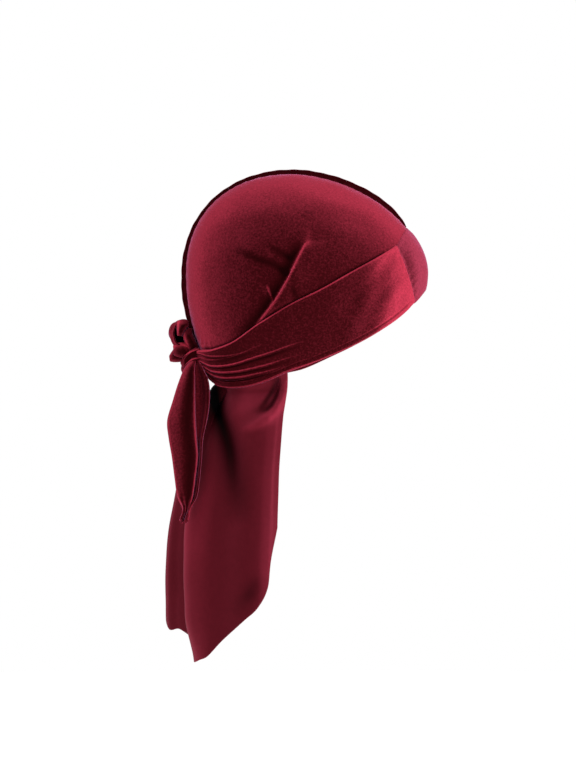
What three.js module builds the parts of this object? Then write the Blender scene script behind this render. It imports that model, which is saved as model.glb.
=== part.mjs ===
// A durag of pressed velvet, in the form it has when worn: two crown panels that meet in a raised seam,
// a front band, a strap on each side that wraps round to the nape, the knot there with its bow loop and
// its two ends, and a cape that hangs down the neck.
//
// Millimetres. +X is towards the face, +Y towards the wearer's left, +Z up. The origin is where the
// inside of the crown rests on the top of the head.
import * as THREE from "three";

const CLOTH = 1.2;            // thickness of the velvet
const GAP = 0.4;              // air left between pieces that touch
const SKIN_GAP = 0.05;        // air between the head and the crown's inner face
const STRAP_LIFT = 2;         // height of a strap's inner face over the head, clear of the crown
const SEAM_CLOTH = 1.1;       // thickness of each upturned seam edge
const SEAM_END_SHARE = 0.002; // share of the centre seam left open at each end
const BAND = { cloth: 2, fullness: 0.7, seamGap: 0.3 };
const STRAP_SEAM = { gapDegrees: 0.35, bentRows: 0.3 };
const DRAWN_WITHIN = 9;       // reach of a crest's pull on the points beside it
const FOLD_END = 8;           // length over which a fold dies out past its ends
const FOLD_UNDER_STRAP = { gone: 1, full: 13 };   // heights over the strap's top edge
const FOLD_FROM_SEAM = { gone: 4, full: 20 };     // distances from the centre seam
const NECK_END = -178;        // height under which the cape no longer follows the head
const NAPE_STAND_OFF = { most: 11, fromZ: -160, nearDegrees: 4, farDegrees: 20 };
const TIP_SWING = { most: 9, fromZ: -360, toZ: -408, reach: 0.3 };
const LOOP_FORM = { x: -92.5, z: -132, cupping: 0.75, ruffle: 1.1 };
const SHORT_END_FORM = { y: 2, curl: 1.5, ruffle: 1.6 };
const VELVET = 0x6d101c;
const VELVET_BACK = 0x651420;

// The head that the cloth is stretched over: an egg measured from its middle.
const HEAD = { x: -3, z: -82, front: 110.5, back: 86, halfWidth: 76, up: 82, down: 122, planRound: 2.1 };

// Edges of the pieces on the head. Azimuths are in degrees, 0 at the face and 90 at the right ear.
const STRAP = [
  { at: 0, topAz: 28, topZ: -60, lowAz: 17.5, lowZ: -106, pleats: 0, topLift: 0, lowLift: 0 },
  { at: 0.12, topAz: 39, topZ: -67, lowAz: 30, lowZ: -122.6, pleats: 0, topLift: 0, lowLift: 0 },
  { at: 0.26, topAz: 53, topZ: -77.5, lowAz: 47, lowZ: -139.6, pleats: 0, topLift: 0, lowLift: 0 },
  { at: 0.42, topAz: 72, topZ: -93, lowAz: 69, lowZ: -153.4, pleats: 0.2, topLift: 0, lowLift: 0 },
  { at: 0.56, topAz: 91, topZ: -106, lowAz: 91, lowZ: -162, pleats: 0.6, topLift: 0.5, lowLift: 0.2 },
  { at: 0.69, topAz: 110, topZ: -122, lowAz: 113, lowZ: -169.5, pleats: 1, topLift: 1.2, lowLift: 0.3 },
  { at: 0.81, topAz: 130, topZ: -137, lowAz: 137, lowZ: -173.5, pleats: 1.2, topLift: 0.4, lowLift: 1 },
  { at: 0.9, topAz: 149, topZ: -144, lowAz: 158, lowZ: -171, pleats: 1.3, topLift: 0.8, lowLift: 3.4 },
  { at: 0.96, topAz: 163, topZ: -145.5, lowAz: 167, lowZ: -163, pleats: 1.2, topLift: 2.4, lowLift: 5.4 },
  { at: 1, topAz: 172, topZ: -146, lowAz: 172, lowZ: -154, pleats: 0.8, topLift: 5, lowLift: 7.6 },
];
const FRONT_SEAM = [
  { at: 0, azimuth: 28, z: -60 },
  { at: 0.25, azimuth: 27, z: -69.5 },
  { at: 0.6, azimuth: 23.5, z: -85.5 },
  { at: 1, azimuth: 17.5, z: -105.3 },
];
const BAND_TOP = [
  { at: 0, azimuth: 0, z: -44 },
  { at: 0.4, azimuth: 11, z: -46.5 },
  { at: 0.75, azimuth: 21, z: -52.5 },
  { at: 1, azimuth: 28, z: -60 },
];
const BAND_BOTTOM = [
  { at: 0, azimuth: 0, z: -92.5 },
  { at: 0.5, azimuth: 9, z: -97 },
  { at: 1, azimuth: 17.5, z: -105.3 },
];
const HEM = [
  { at: 0, azimuth: 18, z: -105.3 },
  { at: 0.18, azimuth: 30, z: -121.3 },
  { at: 0.4, azimuth: 47, z: -138.4 },
  { at: 0.62, azimuth: 66, z: -151.5 },
  { at: 0.8, azimuth: 80, z: -158.8 },
  { at: 1, azimuth: 94, z: -162.5 },
];
const NAPE = [
  { at: 0, azimuth: 180, z: -157 },
  { at: 0.5, azimuth: 137, z: -160 },
  { at: 1, azimuth: 94, z: -162.5 },
];

// The centre seam: angles in the middle plane round the head's middle, from the face over the top, and
// how high its upturned edges stand.
const SEAM_ANGLES = { front: 22, nape: 228 };
const SEAM_HEIGHTS = [
  { at: 0, height: 2.6 },
  { at: 0.06, height: 4.2 },
  { at: 0.3, height: 4.2 },
  { at: 0.5, height: 3.2 },
  { at: 0.65, height: 3.4 },
  { at: 0.8, height: 4.6 },
  { at: 0.87, height: 4 },
  { at: 0.91, height: 2.2 },
  { at: 0.95, height: 1 },
  { at: 1, height: 0.8 },
];

// Folds drawn on the side view, each a line with a soft flank in front and a steep one behind.
// A positive height is a ridge and a negative one a hollow; it grows from startHeight to endHeight.
const CROWN_FOLDS = [
  { startX: 11, startZ: -49, endX: -29, endZ: -124, startHeight: 0.5, endHeight: 4, soft: 15, steep: 3 },
  { startX: -52, startZ: -66, endX: -8, endZ: -88, startHeight: -0.5, endHeight: -1.8, soft: 9, steep: 9 },
  { startX: -24, startZ: -93, endX: -17, endZ: -108, startHeight: 0.4, endHeight: 1.4, soft: 5, steep: 3 },
];
const CAPE_FOLDS = [
  { startX: -10, startZ: -168, endX: -27, endZ: -206, startHeight: -2.6, endHeight: -0.8, soft: 6, steep: 6 },
  { startX: -6, startZ: -172, endX: -21, endZ: -216, startHeight: 2.2, endHeight: 0.8, soft: 5, steep: 5 },
];

// Long pleats of a strap, gathered towards the knot: where each ridge lies across the strap.
const PLEATS = [
  { across: 0.4, width: 0.05, height: 0.5 },
  { across: 0.56, width: 0.045, height: 1 },
  { across: 0.7, width: 0.045, height: 1.1 },
  { across: 0.83, width: 0.04, height: 0.9 },
  { across: 0.97, width: 0.05, height: 1.2 },
];

// The cape from its right front edge, round the nape, to its left front edge. Each row is a place along
// it: the azimuth where it is sewn on, the plan position where it hangs free, and the height of its hem.
const CAPE = [
  { at: 0, azimuth: 94, x: -15.6, y: -60, hem: -290 },
  { at: 0.02, azimuth: 97, x: -19.2, y: -62.5, hem: -311 },
  { at: 0.045, azimuth: 101, x: -22.2, y: -65.5, hem: -338 },
  { at: 0.08, azimuth: 108, x: -30, y: -68, hem: -354 },
  { at: 0.14, azimuth: 118, x: -42, y: -65, hem: -365.5 },
  { at: 0.22, azimuth: 132, x: -58, y: -54, hem: -380.5 },
  { at: 0.32, azimuth: 149, x: -76, y: -46, hem: -395 },
  { at: 0.41, azimuth: 164, x: -86, y: -32, hem: -399 },
  { at: 0.5, azimuth: 180, x: -90.5, y: -13, hem: -401 },
  { at: 0.55, azimuth: 188, x: -86, y: 1, hem: -386 },
  { at: 0.6, azimuth: 196, x: -96, y: 8, hem: -376 },
  { at: 0.65, azimuth: 205, x: -105, y: 16, hem: -376.5 },
  { at: 0.71, azimuth: 215, x: -106.5, y: 28, hem: -364 },
  { at: 0.79, azimuth: 229, x: -94, y: 46, hem: -356 },
  { at: 0.88, azimuth: 244, x: -72, y: 54, hem: -346 },
  { at: 0.95, azimuth: 257, x: -52, y: 63, hem: -332 },
  { at: 1, azimuth: 266, x: -38, y: 62, hem: -308 },
];

// How far the cape has left the neck and reached its hanging plan, by depth under the origin.
const FLARE = [
  { at: 150, share: 0 },
  { at: 178, share: 0 },
  { at: 184, share: 0.13 },
  { at: 200, share: 0.42 },
  { at: 240, share: 0.8 },
  { at: 270, share: 0.9 },
  { at: 315, share: 1 },
  { at: 410, share: 1 },
];

// The knot: a roll of cloth wrapped round the two straps, with grooves between its turns.
const KNOT = { x: -85.3, z: -150.6, halfLength: 10, high: 10, deep: 6.8, turns: 4, groove: 0.06 };

// The bow loop of the left strap: a ribbon that leaves the knot upwards, turns over and comes back.
const LOOP = [
  { at: 0, x: -86.5, y: -6, z: -140, halfWidth: 3.5 },
  { at: 0.11, x: -85, y: -8, z: -134, halfWidth: 4.2 },
  { at: 0.2, x: -87.8, y: -7.5, z: -129, halfWidth: 5 },
  { at: 0.29, x: -90.5, y: -4, z: -124.5, halfWidth: 8 },
  { at: 0.38, x: -92.5, y: -1, z: -121.5, halfWidth: 11 },
  { at: 0.5, x: -97.5, y: 3, z: -120, halfWidth: 14 },
  { at: 0.63, x: -102.5, y: 3, z: -124.5, halfWidth: 15 },
  { at: 0.76, x: -103, y: 3, z: -132, halfWidth: 14 },
  { at: 0.88, x: -99.5, y: 2, z: -138.5, halfWidth: 10 },
  { at: 1, x: -90.8, y: 1, z: -144.5, halfWidth: 6 },
];

// The long end of the right strap, hanging from the knot, folded lengthwise in two lobes with a crease
// between them. Heights run down, and left, crease and right are places along X.
const LONG_END = [
  { at: 0, z: -153.5, left: -84.5, crease: -82.3, right: -80, y: -17.6, depth: 1.2 },
  { at: 0.05, z: -159, left: -90.3, crease: -83, right: -76.6, y: -22.3, depth: 3 },
  { at: 0.14, z: -171, left: -95.5, crease: -82.8, right: -71.6, y: -25.8, depth: 5 },
  { at: 0.26, z: -187, left: -100.5, crease: -82.5, right: -70.8, y: -28, depth: 6 },
  { at: 0.38, z: -203, left: -104.8, crease: -82, right: -73, y: -32, depth: 6.5 },
  { at: 0.49, z: -217, left: -103.5, crease: -81, right: -76, y: -37, depth: 6 },
  { at: 0.61, z: -232, left: -99.5, crease: -79.5, right: -77.5, y: -42, depth: 5 },
  { at: 0.75, z: -250, left: -95, crease: -80.5, right: -79, y: -44.5, depth: 4 },
  { at: 0.9, z: -268, left: -91.5, crease: -84, right: -82.5, y: -45, depth: 3 },
  { at: 0.95, z: -275, left: -90.5, crease: -86, right: -84.5, y: -44.5, depth: 2 },
  { at: 1, z: -285, left: -93.5, crease: -89, right: -86.5, y: -44, depth: 1.6 },
];

// The short end of the left strap, a flared stub under the bow loop.
const SHORT_END = [
  { at: 0, x: -91.7, z: -148, halfWidth: 5, droop: 0 },
  { at: 0.5, x: -97.5, z: -147, halfWidth: 9, droop: 2.5 },
  { at: 1, x: -103, z: -146.5, halfWidth: 13, droop: 6 },
];

const radians = THREE.MathUtils.degToRad;
const lerp = THREE.MathUtils.lerp;
const smoothstep = THREE.MathUtils.smoothstep;

// A smooth curve through one column of a table whose rows are placed by their "at" column.
function column(rows, key) {
  const slope = (i) => {
    const a = rows[Math.max(i - 1, 0)];
    const b = rows[Math.min(i + 1, rows.length - 1)];
    return (b[key] - a[key]) / (b.at - a.at);
  };
  return (at) => {
    let i = 0;
    while (i < rows.length - 2 && at > rows[i + 1].at) i += 1;
    const [a, b] = [rows[i], rows[i + 1]];
    const span = b.at - a.at;
    const t = THREE.MathUtils.clamp((at - a.at) / span, 0, 1);
    const [t2, t3] = [t * t, t * t * t];
    return (
      a[key] * (2 * t3 - 3 * t2 + 1) + slope(i) * span * (t3 - 2 * t2 + t) +
      b[key] * (3 * t2 - 2 * t3) + slope(i + 1) * span * (t3 - t2)
    );
  };
}

// All columns of a table at one place.
function rowAt(rows, at) {
  return Object.fromEntries(Object.keys(rows[0]).map((key) => [key, column(rows, key)(at)]));
}

// Reach of the head's widest level in the direction of an azimuth: 0 is the face, 90 the right ear.
function headReach(azimuth) {
  const forward = Math.cos(azimuth);
  const length = forward > 0 ? HEAD.front : HEAD.back;
  const sum = Math.abs(forward / length) ** HEAD.planRound
    + Math.abs(Math.sin(azimuth) / HEAD.halfWidth) ** HEAD.planRound;
  return sum ** (-1 / HEAD.planRound);
}

// Roundness of the head's upright outline: the forehead slopes more than the back of the head.
function headRound(azimuth, height) {
  return height < 0 ? 2 : 2.2 - 0.4 * Math.max(0, Math.cos(azimuth)) ** 1.5;
}

// How far a point is from the head's middle, where 1 is on the skin.
function headLevel(point) {
  const [dx, dy, dz] = [point.x - HEAD.x, -point.y, point.z - HEAD.z];
  const azimuth = Math.atan2(dy, dx);
  const round = headRound(azimuth, dz);
  const upright = dz < 0 ? HEAD.down : HEAD.up;
  const level = (Math.hypot(dx, dy) / headReach(azimuth)) ** round + Math.abs(dz / upright) ** round;
  return level ** (1 / round);
}

// The point moved straight out from the head's skin.
function lifted(point, lift) {
  const step = 0.05;
  const slope = ["x", "y", "z"].map((axis) => {
    const [more, less] = [point.clone(), point.clone()];
    more[axis] += step;
    less[axis] -= step;
    return headLevel(more) - headLevel(less);
  });
  return new THREE.Vector3(...slope).normalize().multiplyScalar(lift).add(point);
}

// The head's skin at an azimuth in degrees and a height.
function skin(azimuthDegrees, z) {
  const azimuth = radians(azimuthDegrees);
  const dz = z - HEAD.z;
  const round = headRound(azimuth, dz);
  const upright = dz < 0 ? HEAD.down : HEAD.up;
  const reach = headReach(azimuth) * (1 - Math.abs(dz / upright) ** round) ** (1 / round);
  return new THREE.Vector3(HEAD.x + reach * Math.cos(azimuth), -reach * Math.sin(azimuth), z);
}

// The head's skin along the ray from its middle through a point.
function projected(point) {
  const middle = new THREE.Vector3(HEAD.x, 0, HEAD.z);
  return point.clone().sub(middle).divideScalar(headLevel(point)).add(middle);
}

// A closed wall of cloth from a grid of pairs, each the inner and the outer point of the wall.
function wall(grid) {
  const [rows, columns] = [grid.length, grid[0].length];
  const at = (i, j, face) => (i * columns + j) * 2 + face;
  const positions = grid.flat(2).flatMap((p) => [p.x, p.y, p.z]);
  const index = [];
  const quad = (a, b, c, d) => index.push(a, b, c, a, c, d);
  for (let i = 0; i < rows - 1; i += 1) {
    for (let j = 0; j < columns - 1; j += 1) {
      quad(at(i, j, 1), at(i + 1, j, 1), at(i + 1, j + 1, 1), at(i, j + 1, 1));
      quad(at(i, j, 0), at(i, j + 1, 0), at(i + 1, j + 1, 0), at(i + 1, j, 0));
    }
  }
  for (let i = 0; i < rows - 1; i += 1) {
    quad(at(i, 0, 1), at(i, 0, 0), at(i + 1, 0, 0), at(i + 1, 0, 1));
    quad(at(i, columns - 1, 0), at(i, columns - 1, 1), at(i + 1, columns - 1, 1), at(i + 1, columns - 1, 0));
  }
  for (let j = 0; j < columns - 1; j += 1) {
    quad(at(0, j, 0), at(0, j, 1), at(0, j + 1, 1), at(0, j + 1, 0));
    quad(at(rows - 1, j, 1), at(rows - 1, j, 0), at(rows - 1, j + 1, 0), at(rows - 1, j + 1, 1));
  }
  const geometry = new THREE.BufferGeometry();
  geometry.setAttribute("position", new THREE.Float32BufferAttribute(positions, 3));
  geometry.setIndex(index);
  geometry.computeVertexNormals();
  return geometry;
}

// A grid of (rows + 1) by (columns + 1) cells, filled by a function of two shares from 0 to 1.
function grid(rows, columns, place) {
  return Array.from({ length: rows + 1 }, (_, i) =>
    Array.from({ length: columns + 1 }, (_, j) => place(i / rows, j / columns)));
}

// The wall of a hanging sheet: its middle surface made as thick as the cloth.
function hangingWall(rows, columns, middle) {
  const step = 0.002;
  return wall(grid(rows, columns, (s, t) => {
    const along = middle(Math.min(s + step, 1), t).sub(middle(Math.max(s - step, 0), t));
    const across = middle(s, Math.min(t + step, 1)).sub(middle(s, Math.max(t - step, 0)));
    const half = along.cross(across).normalize().multiplyScalar(CLOTH / 2);
    const point = middle(s, t);
    return [point.clone().sub(half), point.add(half)];
  }));
}

// Where a point of the side view lies beside a fold line.
function besideFold(fold, x, z) {
  const [dx, dz] = [fold.endX - fold.startX, fold.endZ - fold.startZ];
  const length = Math.hypot(dx, dz);
  const along = ((x - fold.startX) * dx + (z - fold.startZ) * dz) / length;
  const inFront = ((z - fold.startZ) * dx - (x - fold.startX) * dz) / length;
  const past = Math.max(0, -along, along - length);
  return { length, along, inFront, past, across: [-dz / length, dx / length] };
}

// A point of the head's skin drawn towards a fold line, so that the crest is a crisp row of points.
function drawnToFold(fold, point) {
  const { inFront, past, across } = besideFold(fold, point.x, point.z);
  const near = Math.min(1, Math.hypot(inFront, past) / DRAWN_WITHIN) ** 2;
  const shift = inFront * (near - 1);
  return projected(new THREE.Vector3(point.x + shift * across[0], point.y, point.z + shift * across[1]));
}

function foldHeight(folds, x, z) {
  return folds.reduce((sum, fold) => {
    const { length, along, inFront, past } = besideFold(fold, x, z);
    const width = inFront > 0 ? fold.soft : fold.steep;
    const height = lerp(fold.startHeight, fold.endHeight, THREE.MathUtils.clamp(along / length, 0, 1));
    return sum + height * Math.exp(-((inFront / width) ** 2) - (past / FOLD_END) ** 2);
  }, 0);
}

function edge(rows) {
  const [azimuth, z] = [column(rows, "azimuth"), column(rows, "z")];
  return (t) => skin(azimuth(t), z(t));
}

// One crown panel on the wearer's right: a patch between the centre seam, the hem, the front and the nape.
function crownPanel(folds, rows, columns) {
  const [bandTop, frontSeam, hem, nape] = [BAND_TOP, FRONT_SEAM, HEM, NAPE].map(edge);
  const seamHeight = column(SEAM_HEIGHTS, "height");
  const strapTop = [column(STRAP, "topAz"), column(STRAP, "topZ")];
  const seam = (u) => {
    const angle = radians(lerp(SEAM_ANGLES.front, SEAM_ANGLES.nape, u));
    return projected(new THREE.Vector3(HEAD.x + Math.cos(angle), 0, HEAD.z + Math.sin(angle)));
  };
  const front = (v) => (v < 0.5 ? bandTop(v * 2) : frontSeam(v * 2 - 1));
  const patch = (u, v) => {
    const ruled = seam(u).lerp(hem(u), v);
    const crossed = front(v).lerp(nape(v), u);
    const corners = seam(0).lerp(seam(1), u).lerp(hem(0).lerp(hem(1), u), v);
    return projected(ruled.add(crossed).sub(corners));
  };
  // Folds die away where the strap lies on the crown, so that the two stay clear of each other.
  const clearOfStrap = (point) => {
    const azimuth = THREE.MathUtils.radToDeg(Math.atan2(-point.y, point.x - HEAD.x));
    let [low, high] = [0, 1];
    for (let i = 0; i < 20; i += 1) {
      const middle = (low + high) / 2;
      if (strapTop[0](middle) < azimuth) low = middle;
      else high = middle;
    }
    return smoothstep(point.z - strapTop[1](low), FOLD_UNDER_STRAP.gone, FOLD_UNDER_STRAP.full);
  };
  const clearOfSeam = (point) => smoothstep(-point.y, FOLD_FROM_SEAM.gone, FOLD_FROM_SEAM.full);
  const alongSeam = (u) => lerp(SEAM_END_SHARE, 1 - SEAM_END_SHARE, u);
  const cells = grid(rows, columns, (u, v) => {
    const base = drawnToFold(folds[0], patch(alongSeam(u), v));
    const fold = foldHeight(folds, base.x, base.z) * clearOfStrap(base) * clearOfSeam(base);
    return [lifted(base, fold + SKIN_GAP), lifted(base, fold + SKIN_GAP + CLOTH)];
  });
  // The upturned edge along the centre seam.
  cells.forEach((row, i) => {
    const base = seam(alongSeam(i / rows));
    const top = lifted(base, CLOTH + seamHeight(i / rows));
    const foot = [lifted(base, SKIN_GAP), lifted(base, SKIN_GAP + CLOTH)];
    const aside = (point, y) => new THREE.Vector3(point.x, -y, point.z);
    row[0] = [aside(foot[0], GAP / 2), aside(foot[1], GAP / 2 + SEAM_CLOTH)];
    row.unshift([aside(top, GAP / 2), aside(top, GAP / 2 + SEAM_CLOTH)]);
  });
  return wall(cells);
}

// The front band: folded double, so thicker than the cloth, and slightly full in the middle.
function frontBand(rows, columns) {
  const [seamAzimuth, seamZ] = [column(FRONT_SEAM, "azimuth"), column(FRONT_SEAM, "z")];
  const [topAzimuth, topZ] = [column(BAND_TOP, "azimuth"), column(BAND_TOP, "z")];
  const [bottomAzimuth, bottomZ] = [column(BAND_BOTTOM, "azimuth"), column(BAND_BOTTOM, "z")];
  return wall(grid(rows, columns, (u, v) => {
    const side = Math.abs(u * 2 - 1);
    const sign = Math.sign(u - 0.5);
    // Each level of the band is stretched so that its end follows the front seam.
    const ruledAzimuth = lerp(topAzimuth(side), bottomAzimuth(side), v);
    const straightEnd = lerp(topAzimuth(1), bottomAzimuth(1), v);
    const azimuth = ruledAzimuth + side * (seamAzimuth(v) - straightEnd) - side * BAND.seamGap;
    const ruledZ = lerp(topZ(side), bottomZ(side), v);
    const straightZ = lerp(topZ(1), bottomZ(1), v);
    const z = ruledZ + side * (seamZ(v) - straightZ) - BAND.seamGap * 2 * (1 - v);
    const base = skin(sign * azimuth, z);
    const fullness = BAND.fullness * Math.sin(Math.PI * v) * (1 - side ** 4);
    return [lifted(base, SKIN_GAP), lifted(base, SKIN_GAP + BAND.cloth + fullness)];
  }));
}

function strap(rows, columns) {
  const at = Object.fromEntries(Object.keys(STRAP[0]).map((key) => [key, column(STRAP, key)]));
  const [seamAzimuth, seamZ] = [column(FRONT_SEAM, "azimuth"), column(FRONT_SEAM, "z")];
  return wall(grid(rows, columns, (s, t) => {
    // The first rows bend so that the strap starts along the front seam.
    const atSeam = 1 - smoothstep(s, 0, STRAP_SEAM.bentRows);
    const azimuth = lerp(at.topAz(s), at.lowAz(s), t)
      + atSeam * (seamAzimuth(t) - lerp(seamAzimuth(0), seamAzimuth(1), t) + STRAP_SEAM.gapDegrees);
    const z = lerp(at.topZ(s), at.lowZ(s), t)
      + atSeam * (seamZ(t) - lerp(seamZ(0), seamZ(1), t));
    const pleat = PLEATS.reduce(
      (sum, p) => sum + p.height * Math.exp(-(((t - p.across) / p.width) ** 2)), 0);
    const lift = STRAP_LIFT + lerp(at.topLift(s), at.lowLift(s), t) + pleat * at.pleats(s);
    const base = skin(azimuth, z);
    return [lifted(base, lift), lifted(base, lift + CLOTH)];
  }));
}

function capePoint(s, t) {
  const at = rowAt(CAPE, s);
  const napeZ = column(NAPE, "z")(Math.abs(at.azimuth - 180) / (180 - NAPE.at(-1).azimuth));
  const z = lerp(napeZ - GAP, at.hem, t);
  const fromMiddle = Math.abs(at.azimuth - 180);
  const behind = 1 - smoothstep(fromMiddle, NAPE_STAND_OFF.nearDegrees, NAPE_STAND_OFF.farDegrees);
  const standOff = NAPE_STAND_OFF.most * behind * smoothstep(-z, -NAPE_STAND_OFF.fromZ, -NECK_END);
  const neck = lifted(skin(at.azimuth, Math.max(z, NECK_END)), SKIN_GAP + CLOTH / 2 + standOff);
  const flare = column(FLARE, "share")(-z);
  // The point at the middle of the hem swings forward.
  const tip = TIP_SWING.most * smoothstep(-z, -TIP_SWING.fromZ, -TIP_SWING.toZ)
    * smoothstep(TIP_SWING.reach - Math.abs(s - 0.5), 0, TIP_SWING.reach);
  const point = new THREE.Vector3(lerp(neck.x, at.x + tip, flare), lerp(neck.y, at.y, flare), z);
  const fold = s < 0.3 ? foldHeight(CAPE_FOLDS, point.x, z) : 0;
  point.y -= fold * smoothstep(t, 0.01, 0.08);
  return point;
}

function longEndPoint(s, t) {
  const row = rowAt(LONG_END, s);
  const section = [
    { at: 0, x: row.left, y: 2 },
    { at: 0.15, x: lerp(row.left, row.crease, 0.12), y: -0.3 * row.depth },
    { at: 0.35, x: lerp(row.left, row.crease, 0.5), y: -row.depth },
    { at: 0.58, x: row.crease, y: 0.3 * row.depth },
    { at: 0.78, x: lerp(row.crease, row.right, 0.6), y: -0.8 * row.depth },
    { at: 1, x: row.right, y: 0.5 * row.depth },
  ];
  return new THREE.Vector3(column(section, "x")(t), row.y + column(section, "y")(t), row.z);
}

function shortEndPoint(s, t) {
  const row = rowAt(SHORT_END, s);
  const side = t * 2 - 1;
  return new THREE.Vector3(
    row.x + SHORT_END_FORM.curl * side * side * s,
    SHORT_END_FORM.y + row.halfWidth * side,
    row.z - row.droop * side * side + SHORT_END_FORM.ruffle * s * Math.sin(5 * side),
  );
}

function loopPoint(s, t) {
  const row = rowAt(LOOP, s);
  const side = t * 2 - 1;
  // Towards the left the loop closes, as a cupped hand does, and soft folds run round it.
  const cupped = LOOP_FORM.cupping * smoothstep(side, -0.3, 1) * smoothstep(s, 0.3, 0.55);
  const ruffle = LOOP_FORM.ruffle * Math.sin(Math.PI * s) * Math.cos(7 * side + 5 * s);
  const out = new THREE.Vector2(row.x - LOOP_FORM.x, row.z - LOOP_FORM.z);
  out.multiplyScalar(1 - cupped + ruffle / out.length());
  return new THREE.Vector3(LOOP_FORM.x + out.x, row.y + row.halfWidth * side, LOOP_FORM.z + out.y);
}

function knot(rings, sides) {
  const profile = (share) => {
    const along = share * 2 - 1;
    return Math.sqrt(Math.max(0, 1 - Math.abs(along) ** 2.6));
  };
  const positions = [new THREE.Vector3(KNOT.x, -KNOT.halfLength, KNOT.z)];
  for (let i = 1; i < rings; i += 1) {
    for (let j = 0; j < sides; j += 1) {
      const turn = (j / sides) * 2 * Math.PI;
      const along = (i / rings) * 2 - 1;
      const groove = 1 - KNOT.groove * (1 + Math.cos(KNOT.turns * turn + 3 * along));
      const size = profile(i / rings) * groove;
      positions.push(new THREE.Vector3(
        KNOT.x + KNOT.deep * size * Math.cos(turn),
        KNOT.halfLength * along,
        KNOT.z + KNOT.high * size * Math.sin(turn) + 0.12 * KNOT.high * along,
      ));
    }
  }
  positions.push(new THREE.Vector3(KNOT.x, KNOT.halfLength, KNOT.z));
  const last = positions.length - 1;
  const ring = (i, j) => 1 + (i - 1) * sides + (j % sides);
  const index = [];
  for (let j = 0; j < sides; j += 1) {
    index.push(0, ring(1, j), ring(1, j + 1));
    for (let i = 1; i < rings - 1; i += 1) {
      index.push(ring(i, j), ring(i + 1, j), ring(i + 1, j + 1));
      index.push(ring(i, j), ring(i + 1, j + 1), ring(i, j + 1));
    }
    index.push(last, ring(rings - 1, j + 1), ring(rings - 1, j));
  }
  const geometry = new THREE.BufferGeometry().setFromPoints(positions);
  geometry.setIndex(index);
  geometry.computeVertexNormals();
  return geometry;
}

const velvet = new THREE.MeshStandardMaterial({ color: VELVET, roughness: 0.85, metalness: 0 });
const velvetBack = new THREE.MeshStandardMaterial({ color: VELVET_BACK, roughness: 0.7, metalness: 0 });

const durag = new THREE.Group();

function add(name, geometry, material, mirrored = false) {
  const mesh = new THREE.Mesh(geometry, material);
  mesh.name = name;
  if (mirrored) mesh.scale.y = -1;
  durag.add(mesh);
}

add("crown_panel_right", crownPanel(CROWN_FOLDS, 28, 20), velvet);
add("crown_panel_left", crownPanel(CROWN_FOLDS.slice(0, 2), 24, 14), velvet, true);
add("front_band", frontBand(12, 6), velvet);
add("strap_right", strap(24, 14), velvet);
add("strap_left", strap(20, 12), velvet, true);
add("knot", knot(10, 16), velvet);
add("bow_loop", hangingWall(20, 8, loopPoint), velvet);
add("long_end", hangingWall(16, 12, longEndPoint), velvet);
add("short_end", hangingWall(5, 6, shortEndPoint), velvet);
add("cape", hangingWall(42, 13, capePoint), velvetBack);

export default durag;
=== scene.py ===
"""Velvet durag in its worn form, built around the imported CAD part."""
import math

import bpy
import numpy as np
from bpy.props import FloatProperty, FloatVectorProperty, PointerProperty
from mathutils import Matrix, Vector


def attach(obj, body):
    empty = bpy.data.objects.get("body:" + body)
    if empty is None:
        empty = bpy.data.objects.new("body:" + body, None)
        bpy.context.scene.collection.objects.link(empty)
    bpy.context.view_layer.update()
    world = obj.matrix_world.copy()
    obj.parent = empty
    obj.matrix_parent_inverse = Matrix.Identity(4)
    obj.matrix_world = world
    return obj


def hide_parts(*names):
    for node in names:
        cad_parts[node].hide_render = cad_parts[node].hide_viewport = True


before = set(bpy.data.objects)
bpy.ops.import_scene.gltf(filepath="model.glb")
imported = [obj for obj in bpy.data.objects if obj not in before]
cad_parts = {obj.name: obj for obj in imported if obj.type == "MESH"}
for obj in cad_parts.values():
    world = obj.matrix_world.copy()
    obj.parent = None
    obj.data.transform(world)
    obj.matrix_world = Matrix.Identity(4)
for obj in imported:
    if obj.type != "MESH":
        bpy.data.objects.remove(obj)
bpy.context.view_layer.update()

bl_info = {
    "name": "Velvet durag",
    "version": (1, 0, 0),
    "blender": (4, 5, 0),
    "location": "View3D > Sidebar > Durag",
    "description": "Builds a velvet durag in its worn form",
    "category": "Add Mesh",
}

# Shapes are worked out in millimetres, as on the cutting table, and scaled when a mesh is made.
MM = 0.001

# Thickness of the cloth and of the double band, and how far the middle of the band stands out.
CLOTH = 1.2
BAND_CLOTH = 2.0
BAND_FULLNESS = 1.4
# Air between the head and the cloth, and how far the straps lie off the head.
SKIN_GAP = 0.05
STRAP_LIFT = 2.0
# Steps round the rim of a cloth.
RIM_STEPS = 3

# A fixed tilt for each piece that paints light from the face side and from above, and how fast the straps
# turn bright towards their edges.
CROWN_PAINTED_LIGHT_TILT = (0, 0, 0.12)
STRAP_PAINTED_LIGHT_TILT = (0.25, 0, 0.28)
SATIN_PAINTED_LIGHT_TILT = (0.42, 0, 0.1)
STRAP_FALLOFF = 2.4
STRAP_GAIN = 6.5
# The darkest painted shade, and the brightest painted highlight on the crown and the straps.
DARKEST_PAINTED_SHADE = 0.85
CROWN_BRIGHTEST_PAINTED_HIGHLIGHT = -2.5
STRAP_BRIGHTEST_PAINTED_HIGHLIGHT = -2.0
# What painted shade and painted highlights do to the share of the bright colour and to the lightness, and
# the most that they may lighten.
PAINTED_SHADING_TO_BRIGHT = -0.35
PAINTED_SHADING_TO_LIGHT = -0.9
LIGHTEST = 1.5
# Depth in metres of the bumps that the grain makes.
GRAIN_DEPTH = 0.0004

# The head that fills the durag: its middle, its reach each way and how round it is, seen from above.
HEAD_X = -3.0
HEAD_Z = -82.0
HEAD_FRONT = 110.5
HEAD_BACK = 86.0
HEAD_HALF_WIDTH = 76.0
HEAD_UP = 82.0
HEAD_DOWN = 122.0
HEAD_PLAN_ROUND = 2.1


def table(names, *rows):
    """Named columns of numbers, placed by the column called at."""
    return dict(zip(names.split(), np.array(rows, dtype=float).T))


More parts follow.
